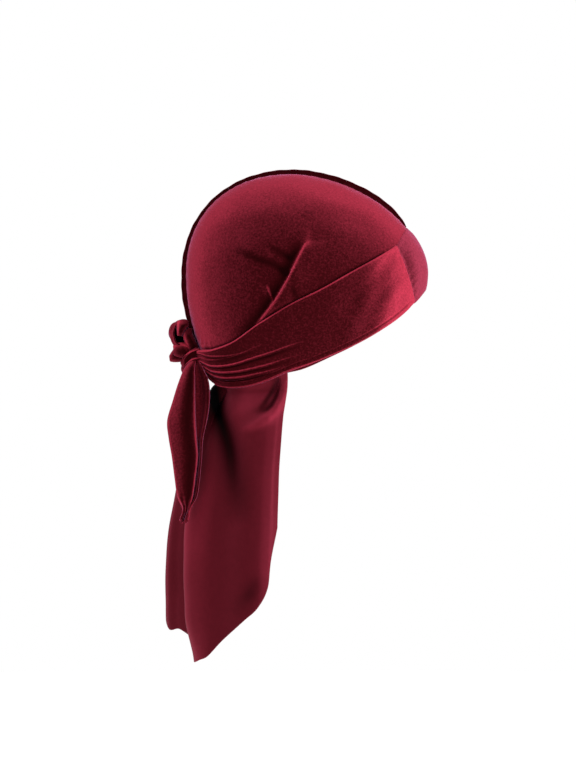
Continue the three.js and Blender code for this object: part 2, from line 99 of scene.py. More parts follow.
# Edges of the pieces on the head: azimuths in degrees, 0 at the face and 90 at the right ear.
STRAP = table(
    "at top_az top_z low_az low_z top_lift low_lift",
    (0, 28, -60, 17.5, -106, 0, 0),
    (0.12, 39, -68.5, 30, -122, 0, 0),
    (0.26, 53, -79.5, 47, -138.6, 0, 0),
    (0.42, 72, -95, 69, -152, 0, 0),
    (0.56, 91, -107.5, 91, -160.8, 0.5, 0.2),
    (0.69, 110, -122, 113, -169.5, 1.2, 0.3),
    (0.81, 130, -137, 137, -173.5, 0.4, 1),
    (0.9, 149, -143, 158, -171, 0.8, 3.4),
    (0.96, 163, -143.2, 167, -163, 2.4, 5.4),
    (1, 172, -143.6, 172, -154, 5, 7.6),
)
FRONT_SEAM = table(
    "at azimuth z",
    (0, 28, -60),
    (0.25, 27, -69.5),
    (0.6, 23.5, -85.5),
    (1, 17.5, -105.3),
)
BAND_TOP = table(
    "at azimuth z",
    (0, 0, -44),
    (0.4, 11, -46.5),
    (0.75, 21, -52.5),
    (1, 28, -60),
)
BAND_BOTTOM = table(
    "at azimuth z",
    (0, 0, -92.5),
    (0.5, 9, -97),
    (1, 17.5, -105.3),
)
HEM = table(
    "at azimuth z",
    (0, 18, -105.3),
    (0.18, 30, -121.3),
    (0.4, 47, -138.4),
    (0.62, 66, -151.5),
    (0.8, 80, -158.8),
    (1, 94, -162.5),
)
NAPE = table(
    "at azimuth z",
    (0, 180, -157),
    (0.5, 137, -160),
    (1, 94, -162.5),
)

# Centre seam: where it runs round the head's middle, and how its upturned edges stand.
SEAM_FRONT_ANGLE = 22.0
SEAM_NAPE_ANGLE = 228.0
SEAM_GAP = 0.04
SEAM_CLOTH = 1.0
SEAM_REACH = 6
SEAM_ROWS = 8
SEAM_HEIGHT = table(
    "at height",
    (0, 0.5),
    (0.02, 2.2),
    (0.07, 4.1),
    (0.3, 3.9),
    (0.5, 2.6),
    (0.65, 2.7),
    (0.8, 3.9),
    (0.87, 3.4),
    (0.91, 2.2),
    (0.95, 1),
    (1, 0.8),
)

# The deep tuck over the ear, as a line on the side view, and how far its crest stands up.
TUCK = table(
    "at x height",
    (-150, -50, 0.3),
    (-132, -40.5, 0.3),
    (-125, -33, 0.8),
    (-118, -26.2, 1.9),
    (-105, -15.6, 3.6),
    (-88.6, -5.8, 4.2),
    (-82.2, -2.6, 4.1),
    (-70.2, 3.1, 3.1),
    (-60, 7.8, 1.5),
    (-55.5, 9.8, 0),
    (-45, 14, 0),
)
TUCK_SOFT = 15.0
TUCK_STEEP = 0.9
TUCK_LEAN = 1.0
TUCK_HOLLOW = 1.3
TUCK_GATHER = 9

# Lesser folds: the widths of the left and the right flank, then points of x, z and height.
CROWN_FOLDS = (
    (8, 3.6, (-50, -62, 0), (-42, -66, 0.9), (-28, -71, 1.5), (-12, -79, 2.0), (-5, -83, 2.2)),
    (5, 3, (-17, -58, 0), (-12, -63, 0.8), (-7, -67, 0.8)),
    (1, 3.5, (-24.5, -91, 0), (-22.8, -94.5, 1.6), (-20.5, -99, 2.2), (-18, -104.5, 1.6)),
    (1, 2.4, (5, -32.6, 0), (9, -34, 0.5), (14, -35.8, 0.5), (18, -37.4, 0)),
    (4, 4, (-3, -90, -0.6), (-1, -100, -1.2)),
    (1, 1, (-76.5, -130, 0), (-76, -138, 0.7), (-75.5, -148, 0.7)),
    (1, 1, (-73, -132, 0), (-72.5, -140, 0.7), (-72, -148, 0.7)),
    (1, 1, (-69.5, -134, 0), (-68.5, -140, 0.5), (-67.5, -148, 0.5)),
)
# Painted shade on the crown in its dents and creases, as folds with a share for a height, and painted
# highlights below zero.
CROWN_PAINTED_SHADING = (
    (3.4, 2.6, (-52, -61.5, 0), (-45, -64.4, 0.3), (-29.6, -71.5, 0.6), (-17.8, -75.1, 0.6),
     (-5.9, -83.4, 0.8)),
    (2.6, 2.6, (-24, -59, 0), (-16, -63, 0.4), (-6, -69, 0.6)),
    (1.2, 5, (6, -56, 0), (0.5, -66, 0.8), (-5.5, -79, 0.75), (-10, -89, 0.55), (-15, -97, 0.85),
     (-21, -106.5, 0.85), (-26, -113.5, 0.8), (-32, -121, 0.7), (-40, -128, 0.4), (-52, -135, 0)),
    (1.8, 1.8, (-2.5, -91, 0), (-1.4, -96.4, 0.6), (1, -101, 0.4)),
    (0.8, 0.9, (5, -31.8, 0), (8.6, -32.6, 0.6), (14, -34.6, 0.6), (18, -36, 0)),
    (2.6, 2.6, (10.6, -47, 0), (10.6, -51, -0.4), (10, -59, -0.4), (9.5, -64, 0)),
    (0.7, 0.7, (-23.2, -92, 0), (-22.2, -94, -1.6), (-20.3, -99, -1.6), (-18.4, -104.5, -1)),
    (3, 1.6, (-77.8, -139.5, 0), (-77.6, -141.5, -2), (-77, -145, -2.5), (-76, -147, -2)),
)

# Pleats: where along and across the strap each begins and passes, its height, its widths above and below.
PLEATS = (
    (0.66, 0.47, 0.9, 0.17, 0.55, 0.013, 0.02),
    (0.6, 0.4, 0.9, 0.28, 0.3, 0.012, 0.02),
    (0.46, 0.66, 0.93, 0.415, 1.15, 0.013, 0.035),
    (0.5, 0.83, 0.93, 0.565, 1.15, 0.013, 0.035),
    (0.56, 0.9, 0.9, 0.71, 0.9, 0.012, 0.03),
    (0.6, 0.91, 0.9, 0.815, -0.9, 0.012, 0.012),
    (0.3, 0.985, 0.9, 0.955, 0.8, 0.016, 0.04),
)

# The cape follows the head down to the neck, stands off the nape behind the knot and spreads at its tip.
NECK_END = -178.0
NAPE_STAND_OFF = 17.0
CAPE_TIP = 9
CAPE_RELIEF = 1.3
# How strong the painted shade on the cape is.
CAPE_PAINTED_SHADE_STRENGTH = 1.3
# The cape from its right front edge, round the nape, to its left front edge.
CAPE = table(
    "at azimuth x y hem",
    (0, 94, -15.6, -60, -290),
    (0.02, 97, -19.2, -62.5, -311),
    (0.045, 101, -22.2, -65.5, -338),
    (0.08, 108, -30, -68, -354),
    (0.14, 118, -42, -65, -365.5),
    (0.22, 132, -58, -54, -380.5),
    (0.32, 149, -74, -48, -395),
    (0.4, 163, -85, -40, -399),
    (0.45, 172, -90, -31, -401),
    (0.5, 180, -90, -20, -400),
    (0.55, 188, -85, -5, -388),
    (0.6, 196, -96, 8, -376),
    (0.65, 205, -105, 16, -376.5),
    (0.71, 215, -106.5, 28, -364),
    (0.79, 229, -94, 46, -356),
    (0.88, 244, -72, 54, -346),
    (0.95, 257, -52, 63, -332),
    (1, 266, -38, 62, -308),
)
# How far the cape has left the neck, by depth.
FLARE = table(
    "at share",
    (150, 0),
    (172, 0),
    (180, 0.1),
    (186, 0.2),
    (200, 0.42),
    (240, 0.75),
    (270, 0.88),
    (315, 1),
    (410, 1),
)
# Folds of the cape under the ear, and its painted shade and painted highlights, in the form of the
# crown's.
CAPE_FOLDS = (
    (2.2, 3.4, (-15, -166, 1.6), (-18.2, -177.6, 2), (-23.9, -186, 1.6), (-30, -192, 0.4)),
    (3, 3, (-12, -168, -1), (-15.3, -184, -2.6), (-21, -194, -2), (-30, -199, 0)),
    (5, 4, (-7.5, -168, 1), (-10, -180, 2.4), (-15.3, -190.5, 3), (-23, -200, 3), (-33, -206.5, 2),
     (-46, -211, 0)),
)
CAPE_PAINTED_SHADING = (
    (9, 10, (-69, -172, 0.95), (-66, -187, 0.95), (-61.5, -202, 0.85), (-57, -215, 0.8),
     (-53, -229, 0.75), (-50, -246, 0.6), (-46, -268, 0.3), (-43, -290, 0)),
    (2, 4.5, (-12, -172, 0.5), (-14.5, -184, 0.9), (-18, -190.5, 0.95), (-22.5, -194, 0.8),
     (-30, -196, 0.3)),
    (2, 2, (-14, -168, 0.7), (-19, -179.4, 0.75), (-24, -187, 0.7), (-28, -192, 0.3)),
    (3.5, 2.4, (-7.4, -168, -0.3), (-11, -182, -0.6), (-16.5, -193, -0.8), (-25, -202, -0.7),
     (-34.6, -207.4, -0.5), (-45, -210.5, 0)),
    (6, 6, (-28, -326, 0), (-36.5, -343.6, 0.4), (-46, -356, 0.1)),
    (7, 7, (-42, -176, -0.2), (-36, -184, -0.25), (-48, -196, -0.15), (-52, -206, 0)),
)
# The valley of the cape behind the long end, by height.
CAPE_VALLEY = table(
    "at x depth",
    (-290, -46, 0),
    (-270, -48, 2.5),
    (-252, -50, 5),
    (-227, -53.5, 8),
    (-200, -60, 9),
    (-181, -65, 8),
    (-168, -67, 1),
)

# The bow: the rim of its loop, and then the flat folds in and under it by two edges on the side view.
OUTER_LOBE = table(
    "at x y z half_width",
    (0, -87, -2, -147, 6),
    (0.09, -93.5, -3, -145.5, 8),
    (0.18, -99.2, -2, -141.5, 10),
    (0.3, -103, 0, -135, 11),
    (0.42, -103.6, 2, -128.6, 12),
    (0.53, -100.6, 3, -122.4, 12),
    (0.64, -95, 3, -119.7, 11),
    (0.76, -89.4, 3, -120.4, 10),
    (0.86, -87.2, 5, -126, 8),
    (0.93, -85.6, 7, -134, 6.5),
    (1, -84.6, 5, -145, 5),
)
HANGING_FOLD = table(
    "at x0 z0 x1 z1 y bulge",
    (0, -97, -120.4, -88.4, -120.8, -10, 1.4),
    (0.3, -97.4, -123.6, -89, -124.2, -12.5, 2.4),
    (0.65, -97.2, -128, -92, -128.6, -13, 2),
    (1, -97, -132.2, -94, -132.4, -12, 1.2),
)
SECOND_LOBE = table(
    "at x0 z0 x1 z1 y bulge",
    (0, -88.6, -127, -85.6, -126.8, -7, 1.4),
    (0.2, -91.8, -129.8, -85.4, -130.2, -9, 3),
    (0.4, -92.4, -133, -84, -134, -10.5, 3.6),
    (0.7, -90.6, -139, -80.8, -141.2, -11, 3),
    (1, -88, -146.6, -79, -147.6, -10.5, 1.5),
)
UNDER_FOLD = table(
    "at x0 z0 x1 z1 y bulge",
    (0, -86.4, -142, -90.4, -150.4, -11, 1.6),
    (0.3, -89.6, -139.8, -92.4, -150.6, -12, 2.4),
    (0.6, -94.2, -138.6, -94.8, -150.2, -11.5, 2.6),
    (0.85, -98.4, -139.4, -97.8, -149.4, -10, 2),
    (1, -100.6, -141, -99.8, -148.6, -8.5, 1.2),
)
SHORT_FOLD = table(
    "at x0 z0 x1 z1 y bulge",
    (0, -90.6, -145.4, -91, -153, 1, 1.4),
    (0.35, -95, -143.4, -94.6, -153.6, -0.5, 3),
    (0.65, -99, -142.6, -98.6, -154, -1.5, 3.4),
    (0.88, -102.6, -147, -101.8, -153.8, -1.5, 2.4),
    (1, -104, -149.4, -103.4, -153.4, -1, 1.4),
)
# Turns of the knot: points of x, y, z that each roll of cloth runs through, round and back again.
KNOT_ROLLS = (
    (3.0, ((-90.6, -8, -157.4), (-89.4, -13, -152.4), (-85.4, -15.5, -148.2), (-80.6, -14.5, -146),
           (-81.5, -5, -146.6), (-84, 7, -148), (-90, 10, -151), (-92, 0.5, -155.5))),
    (2.8, ((-90.2, -8, -162.4), (-87.8, -14, -158), (-83.2, -17.4, -154), (-80.4, -14, -153),
           (-81.5, -3, -152.5), (-84.5, 10, -153.5), (-90.5, 10, -157), (-92, 0, -161.5))),
    (3.2, ((-87, -10, -152), (-83.5, -11, -150), (-82, -1, -149.5), (-83, 11.5, -150.5),
           (-88, 11.5, -154), (-90.5, -1, -154.5))),
)
# Where the far side of the bow's loop is gathered shut.
LOBE_CLOSING = (-93.5, 12, -131)
# The long end, by height: its left edge, inner fold and right edge on the side view, and its folds' depth.
LONG_END = table(
    "at z left crease right y depth",
    (0, -153.5, -84.5, -82.3, -80, -17.6, 1.2),
    (0.05, -159, -90.3, -83, -76.6, -22.3, 3),
    (0.14, -171, -95.5, -82.8, -71.6, -25.8, 5),
    (0.26, -187, -100.5, -82.5, -70.8, -28, 6),
    (0.38, -203, -104.8, -82, -73, -32, 6.5),
    (0.49, -217, -103.5, -81, -76, -37, 6),
    (0.61, -232, -100.8, -80, -77, -42, 5),
    (0.75, -250, -98.4, -82, -78.6, -44.5, 4.5),
    (0.88, -266, -96, -84.4, -81.2, -45, 3.5),
    (0.95, -276, -92, -87.4, -86.2, -44.5, 2),
    (1, -285, -94.4, -90.4, -87.6, -44, 1.6),
)
# Where painted shade and painted highlights lie across the long end: place, width and share, below zero
# for a highlight.
LONG_END_PAINTED_SHADING = (
    (0.46, 0.1, 0.6),
    (0.7, 0.05, -0.5),
    (0.85, 0.06, 0.8),
    (0.57, 0.014, -1.6),
    (0.97, 0.02, -1.8),
)
# Small folds of the bow: the name, the edges and the flat size.
BOW_FOLDS = (
    ("bow_hanging_fold", HANGING_FOLD, (0.0115, 0.0125)),
    ("bow_second_lobe", SECOND_LOBE, (0.014, 0.019)),
    ("bow_under_fold", UNDER_FOLD, (0.0125, 0.0165)),
)

# The middle and the width in metres of what the camera takes in.
VIEW_MIDDLE = Vector((-0.0058, 0, -0.1726))
VIEW_WIDTH = 0.6374
SENSOR = 36
FLOOR_RADIUS = 1500
WHITE = (1, 1, 1, 1)
# Lights: the name, the place, the size in metres and the power in watts.
LIGHTS = (
    ("face_softbox", (1.9, -0.4, 0.35), 1.2, 32),
    ("nape_softbox", (-1.3, -0.3, 1.4), 1.2, 9),
    ("top_softbox", (-0.2, 0, 1.7), 1.4, 15),
)


def smoothstep(x, low, high):
    """A soft step from 0 to 1."""
    share = np.clip((x - low) / (high - low), 0, 1)
    return share * share * (3 - 2 * share)


def window(x, shut, opened, closing, closed):
    """1 between two places, falling softly to 0 on both sides."""
    return smoothstep(x, shut, opened) * (1 - smoothstep(x, closing, closed))


def lerp(a, b, share):
    return a + (b - a) * share


def hump(x, place, width):
    """A soft hump that is 1 at its place."""
    return np.exp(-(((x - place) / width) ** 2))


def along(rows, name, at):
    """A smooth curve through one column of a table."""
    places, values = rows["at"], rows[name]
    last = len(places) - 1
    before = np.maximum(np.arange(last + 1) - 1, 0)
    after = np.minimum(np.arange(last + 1) + 1, last)
    slopes = (values[after] - values[before]) / (places[after] - places[before])
    at = np.asarray(at, dtype=float)
    i = np.clip(np.searchsorted(places, at, side="right") - 1, 0, last - 1)
    span = places[i + 1] - places[i]
    t = np.clip((at - places[i]) / span, 0, 1)
    t2, t3 = t * t, t * t * t
    return (
        values[i] * (2 * t3 - 3 * t2 + 1) + slopes[i] * span * (t3 - 2 * t2 + t)
        + values[i + 1] * (3 * t2 - 2 * t3) + slopes[i + 1] * span * (t3 - t2)
    )


def circle(count):
    """Angles all the way round."""
    return np.linspace(0, 2 * math.pi, count, endpoint=False)


def points(x, y, z):
    """An array of points from three arrays that fit each other."""
    return np.stack(np.broadcast_arrays(x, y, z), axis=-1).astype(float)


def head_reach(azimuth):
    """Reach of the widest level of the head from its middle."""
    forward = np.cos(azimuth)
    length = np.where(forward > 0, HEAD_FRONT, HEAD_BACK)
    total = np.abs(forward / length) ** HEAD_PLAN_ROUND
    total = total + np.abs(np.sin(azimuth) / HEAD_HALF_WIDTH) ** HEAD_PLAN_ROUND
    return total ** (-1 / HEAD_PLAN_ROUND)


def head_round(azimuth, height):
    """Roundness of the upright outline: the forehead slopes more than the back of the head."""
    return np.where(height < 0, 2.0, 2.2 - 0.4 * np.maximum(0, np.cos(azimuth)) ** 1.5)


def head_level(p):
    """How far points are from the head's middle, where 1 is on the skin."""
    dx, dy, dz = p[..., 0] - HEAD_X, -p[..., 1], p[..., 2] - HEAD_Z
    azimuth = np.arctan2(dy, dx)
    rounding = head_round(azimuth, dz)
    upright = np.where(dz < 0, HEAD_DOWN, HEAD_UP)
    level = (np.hypot(dx, dy) / head_reach(azimuth)) ** rounding + np.abs(dz / upright) ** rounding
    return level ** (1 / rounding)


def head_normal(p):
    """The way straight out from the head at each point."""
    step = 0.05
    slopes = []
    for axis in range(3):
        offset = np.zeros(3)
        offset[axis] = step
        slopes.append(head_level(p + offset) - head_level(p - offset))
    normal = np.stack(slopes, axis=-1)
    return normal / np.linalg.norm(normal, axis=-1, keepdims=True)


def lifted(p, lift):
    """Points moved straight out from the head's skin."""
    return p + head_normal(p) * np.asarray(lift)[..., None]


def skin(azimuth_degrees, z):
    """Points of the head's skin at an azimuth and a height."""
    azimuth = np.radians(azimuth_degrees)
    dz = z - HEAD_Z
    rounding = head_round(azimuth, dz)
    upright = np.where(dz < 0, HEAD_DOWN, HEAD_UP)
    reach = head_reach(azimuth) * (1 - np.abs(dz / upright) ** rounding) ** (1 / rounding)
    return points(HEAD_X + reach * np.cos(azimuth), -reach * np.sin(azimuth), z)


def projected(p):
    """The head's skin along the ray from its middle through each point."""
    middle = np.array([HEAD_X, 0, HEAD_Z])
    return (p - middle) / head_level(p)[..., None] + middle


def swell(p, wavelength, seed, waves=9):
    """Soft random swell over points, most of it between -1 and 1."""
    rng = np.random.default_rng(seed)
    total = np.zeros(p.shape[:-1])
    for _ in range(waves):
        direction = rng.normal(size=3)
        direction /= np.linalg.norm(direction)
        turns = 2 * math.pi / (wavelength * rng.uniform(0.7, 1.4))
        total += np.sin(p @ direction * turns + rng.uniform(0, 2 * math.pi))
    return total / math.sqrt(waves * 2)


def fold_height(folds, x, z):
    """Height of curved folds drawn on the side view. Left and right are seen the way a fold runs, and a
    negative height is a hollow."""
    total = np.zeros(np.broadcast(x, z).shape)
    for left, right, *line in folds:
        nearest = np.full(total.shape, np.inf)
        best = np.zeros(total.shape)
        for (x0, z0, height0), (x1, z1, height1) in zip(line[:-1], line[1:]):
            dx, dz = x1 - x0, z1 - z0
            run = np.clip(((x - x0) * dx + (z - z0) * dz) / (dx * dx + dz * dz), 0, 1)
            away = np.hypot(x - x0 - run * dx, z - z0 - run * dz)
            width = np.where((z - z0) * dx > (x - x0) * dz, left, right)
            height = lerp(height0, height1, run) * hump(away, 0, width)
            best = np.where(away < nearest, height, best)
            nearest = np.minimum(nearest, away)
        total += best
    return total


def grid_shares(rows, columns):
    """Shares down the rows and across the columns of a grid, from 0 to 1."""
    return np.linspace(0, 1, rows + 1)[:, None], np.linspace(0, 1, columns + 1)[None, :]


def surface_normals(grid):
    """The way straight out from a grid of points."""
    normal = np.cross(np.gradient(grid, axis=0), np.gradient(grid, axis=1))
    length = np.linalg.norm(normal, axis=-1, keepdims=True)
    return normal / np.maximum(length, 1e-9)


def outer_side(middle):
    """Outer points of a cloth from the points in the middle of its thickness."""
    return middle + surface_normals(middle) * CLOTH / 2


def cloth_piece(name, outer, thick, materials, mirrored=False, painted_shading=0, painted_shading_inside=0):
    """A closed sheet of cloth from a grid of its outer points in millimetres, with a round rim. Painted
    shading is the painted shade at each point, and a painted highlight where it is below zero."""
    rows, columns = outer.shape[:2]
    normal = surface_normals(outer)
    inner = outer - normal * thick
    index = np.arange(rows * columns).reshape(rows, columns)
    loop = np.concatenate([
        index[0, :-1], index[:-1, -1], index[-1, :0:-1], index[:0:-1, 0],
    ])
    flat_outer, flat_inner = outer.reshape(-1, 3), inner.reshape(-1, 3)
    middle = (flat_outer[loop] + flat_inner[loop]) / 2
    tangent = np.roll(middle, -1, axis=0) - np.roll(middle, 1, axis=0)
    outwards = np.cross(normal.reshape(-1, 3)[loop], tangent)
    outwards /= np.maximum(np.linalg.norm(outwards, axis=1, keepdims=True), 1e-9)
    up = (flat_outer[loop] - flat_inner[loop]) / 2
    half = np.linalg.norm(up, axis=1, keepdims=True)
    rims = []
    for step in range(1, RIM_STEPS + 1):
        angle = math.pi * step / (RIM_STEPS + 1)
        rims.append(middle + up * math.cos(angle) + outwards * half * math.sin(angle))
    vertices = np.concatenate([flat_outer, flat_inner, *rims])
    count = rows * columns
    a, b, c, d = index[:-1, :-1], index[1:, :-1], index[1:, 1:], index[:-1, 1:]
    top = np.stack([a, b, c, d], axis=-1).reshape(-1, 4)
    bottom = np.stack([a, d, c, b], axis=-1).reshape(-1, 4) + count
    rings = [loop]
    rings += [2 * count + k * len(loop) + np.arange(len(loop)) for k in range(RIM_STEPS)]
    rings += [loop + count]
    sides = [
        np.stack([one, np.roll(one, -1), np.roll(two, -1), two], axis=-1)
        for one, two in zip(rings[:-1], rings[1:])
    ]
    faces = np.concatenate([top, *sides, bottom])
    if mirrored:
        vertices = vertices * (1, -1, 1)
        faces = faces[:, ::-1]
    inner_faces = np.zeros(len(faces), dtype=np.int32)
    inner_faces[-len(bottom):] = 1
    piece = mesh_piece(name, vertices, faces, materials, inner_faces)
    marks = [np.broadcast_to(share, (rows, columns)).ravel() for share in (painted_shading, painted_shading_inside)]
    marks += [marks[0][loop]] * RIM_STEPS
    mark_painted_shading(piece, np.concatenate(marks))
    return piece


def mark_painted_shading(piece, shares):
    """Notes on every point its painted shade and painted highlight, for the materials."""
    attribute = piece.data.attributes.new("painted_shading", "FLOAT", "POINT")
    attribute.data.foreach_set("value", shares.astype(np.float32))


def placed(name, data):
    """A new object in the scene."""
    thing = bpy.data.objects.new(name, data)
    bpy.context.scene.collection.objects.link(thing)
    return thing


def mesh_piece(name, vertices, faces, materials, material_index=None):
    mesh = bpy.data.meshes.new(name)
    mesh.from_pydata((vertices * MM).tolist(), [], faces.tolist())
    for material in materials:
        mesh.materials.append(material)
    if material_index is not None:
        mesh.polygons.foreach_set("material_index", material_index)
    mesh.polygons.foreach_set("use_smooth", np.ones(len(mesh.polygons), dtype=bool))
    mesh.update()
    return placed(name, mesh)


def dressed(piece, node):
    """The piece stands for its CAD node and rides where it does."""
    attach(piece, "root")
    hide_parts(node)


def edge_points(rows, share):
    """Points on the skin along a table of azimuths and heights."""
    return skin(along(rows, "azimuth", share), along(rows, "z", share))


def seam_bend(name, share):
    """How far the front seam departs from a straight line between its ends."""
    ends = FRONT_SEAM[name]
    return along(FRONT_SEAM, name, share) - lerp(ends[0], ends[-1], share)


def seam_points(share):
    """Points on the skin along the centre seam."""
    angle = np.radians(lerp(SEAM_FRONT_ANGLE, SEAM_NAPE_ANGLE, share))
    return projected(points(HEAD_X + np.cos(angle), 0 * angle, HEAD_Z + np.sin(angle)))


def strap_edge_height(p):
    """How far points of the skin are above the strap's top edge."""
    azimuth = np.degrees(np.arctan2(-p[..., 1], p[..., 0] - HEAD_X))
    places = np.linspace(0, 1, 200)
    edge_z = np.interp(azimuth, along(STRAP, "top_az", places), along(STRAP, "top_z", places))
    return p[..., 2] - edge_z


def tuck_offsets(p):
    """Signed distance in front of the tuck's crest, and the way across it."""
    z = p[..., 2]
    slope = along(TUCK, "x", z + 0.5) - along(TUCK, "x", z - 0.5)
    return (p[..., 0] - along(TUCK, "x", z)) / np.sqrt(1 + slope ** 2), slope


def crown_surface(rows, columns, wave_sign, with_small_folds):
    """Outer points of one crown panel on the wearer's right, its upturned seam edge first, and its painted
    shade and painted highlights."""
    u, v = grid_shares(rows, columns)
    u_seam = lerp(0.002, 0.998, u)
    seam, hem = seam_points(u_seam), edge_points(HEM, u_seam)
    front = np.where(
        (v < 0.5)[..., None],
        edge_points(BAND_TOP, np.clip(v * 2, 0, 1)),
        edge_points(FRONT_SEAM, np.clip(v * 2 - 1, 0, 1)),
    )
    nape = edge_points(NAPE, v)
    share_u, share_v = u_seam[..., None], v[..., None]
    corners = lerp(lerp(seam[:1], seam[-1:], share_u), lerp(hem[:1], hem[-1:], share_u), share_v)
    patch = lerp(seam, hem, share_v) + lerp(front, nape, share_u) - corners
    base = projected(patch)
    # Rows of points are drawn together at the crest of the tuck.
    aside, slope = tuck_offsets(base)
    near = np.minimum(1, np.abs(aside) / TUCK_GATHER)
    shift = aside * (near - 1) * smoothstep(base[..., 2], -30, -45)
    tilt = np.sqrt(1 + slope ** 2)
    base = projected(base + points(shift / tilt, 0, -shift * slope / tilt))
    # Near the seam the panel starts beside its upturned edge.
    beside = SEAM_GAP / 2 + SEAM_CLOTH
    y = -base[..., 1]
    base[..., 1] = -np.where(y < SEAM_REACH, beside + y * (1 - beside / SEAM_REACH), y)
    aside, _ = tuck_offsets(base)
    tuck = along(TUCK, "height", base[..., 2])
    steep = np.where(aside > 0, TUCK_SOFT, TUCK_STEEP)
    fold = tuck * hump(aside, 0, steep)
    fold -= TUCK_HOLLOW * tuck / 4 * hump(aside, -7, 11) * (aside < 0)
    folds = CROWN_FOLDS if with_small_folds else CROWN_FOLDS[:2]
    fold += fold_height(folds, base[..., 0], base[..., 2])
    above_strap = strap_edge_height(base)
    fold = fold * smoothstep(above_strap, -1, 4) * smoothstep(-base[..., 1], 3, 20)
    # A painted shadow runs along the crown just above the strap's top edge.
    painted_shading = 0.75 * hump(above_strap, 0.4, 1.3) * (base[..., 0] < 72)
    if with_small_folds:
        painted_shading += fold_height(CROWN_PAINTED_SHADING, base[..., 0], base[..., 2])
        # A painted highlight runs along the crest of the tuck.
        crest = hump(aside, 0.3, 0.55) * smoothstep(tuck, 0.3, 1.5)
        painted_shading = lerp(painted_shading, -1.5, crest)
    from_seam = -base[..., 1]
    pucker = np.sin(u * 240 + 2 * np.sin(u * 37)) * hump(from_seam, 0, 9) * 0.25
    pucker = pucker * smoothstep(from_seam, 1, 3)
    soft = 0.35 * swell(base, 34, 5) * smoothstep(above_strap, 0, 12) * smoothstep(from_seam, 2, 14)
    outer = lifted(base, fold + pucker + soft + SKIN_GAP + CLOTH)
    lean = TUCK_LEAN * tuck / 4 * hump(aside, 0, 1.6) * smoothstep(above_strap, 0, 7)
    lean = np.where(aside > -1.2, lean, 0)
    outer[..., 0] -= lean
    # The upturned edge, from its top down to the panel.
    down = np.linspace(0, 1, SEAM_ROWS + 1)[None, :-1]
    seam_height = along(SEAM_HEIGHT, "height", u) + 0.12 * np.sin(u * 160) + 0.1 * np.sin(u * 71)
    lift = lerp(CLOTH + seam_height, SKIN_GAP + CLOTH, down)
    edge = lifted(np.broadcast_to(seam, (rows + 1, 1, 3)), lift)
    wave = wave_sign * (0.25 * np.sin(u * 95 + 1.2 * np.sin(u * 31))) * (1 - down ** 2)
    edge[..., 1] = wave * smoothstep(seam_height, 1, 2.5) - beside
    # The upturned seam edge gets painted shade, darker towards its top.
    seam_edge_painted_shade = np.broadcast_to(0.3 * (1 - down), (rows + 1, SEAM_ROWS))
    painted_shading = np.clip(np.concatenate([seam_edge_painted_shade, painted_shading], axis=1), CROWN_BRIGHTEST_PAINTED_HIGHLIGHT, DARKEST_PAINTED_SHADE)
    return np.concatenate([edge, outer], axis=1), painted_shading


def band_surface(rows, columns, fullness):
    """Outer points of the band, from one front seam over the forehead to the other."""
    u, v = grid_shares(rows, columns)
    side = np.abs(u * 2 - 1)
    sign = np.sign(u - 0.5)
    ruled = lerp(along(BAND_TOP, "azimuth", side), along(BAND_BOTTOM, "azimuth", side), v)
    azimuth = ruled + side * seam_bend("azimuth", v) - side * 0.3
    # The lower edge runs level over the middle of the forehead.
    levelled = np.sqrt((side ** 2 + 0.02) / 1.02)
    ruled_z = lerp(along(BAND_TOP, "z", side), along(BAND_BOTTOM, "z", levelled), v)
    z = ruled_z + side * seam_bend("z", v) - 0.6 * (1 - v)
    base = skin(sign * azimuth, z)
    full = fullness * np.sin(math.pi * v) * (1 - side ** 4)
    pucker = 0.3 * np.sin(v * 34 + 3 * np.sin(v * 9)) * hump(side, 1, 0.16)
    soft = 0.5 * swell(base * (1, 1, 0.4), 22, 11)
    edge = smoothstep(np.minimum(1 - side, np.minimum(v, 1 - v) * 0.6), 0, 0.06)
    return lifted(base, SKIN_GAP + BAND_CLOTH + full + (pucker + soft) * edge)


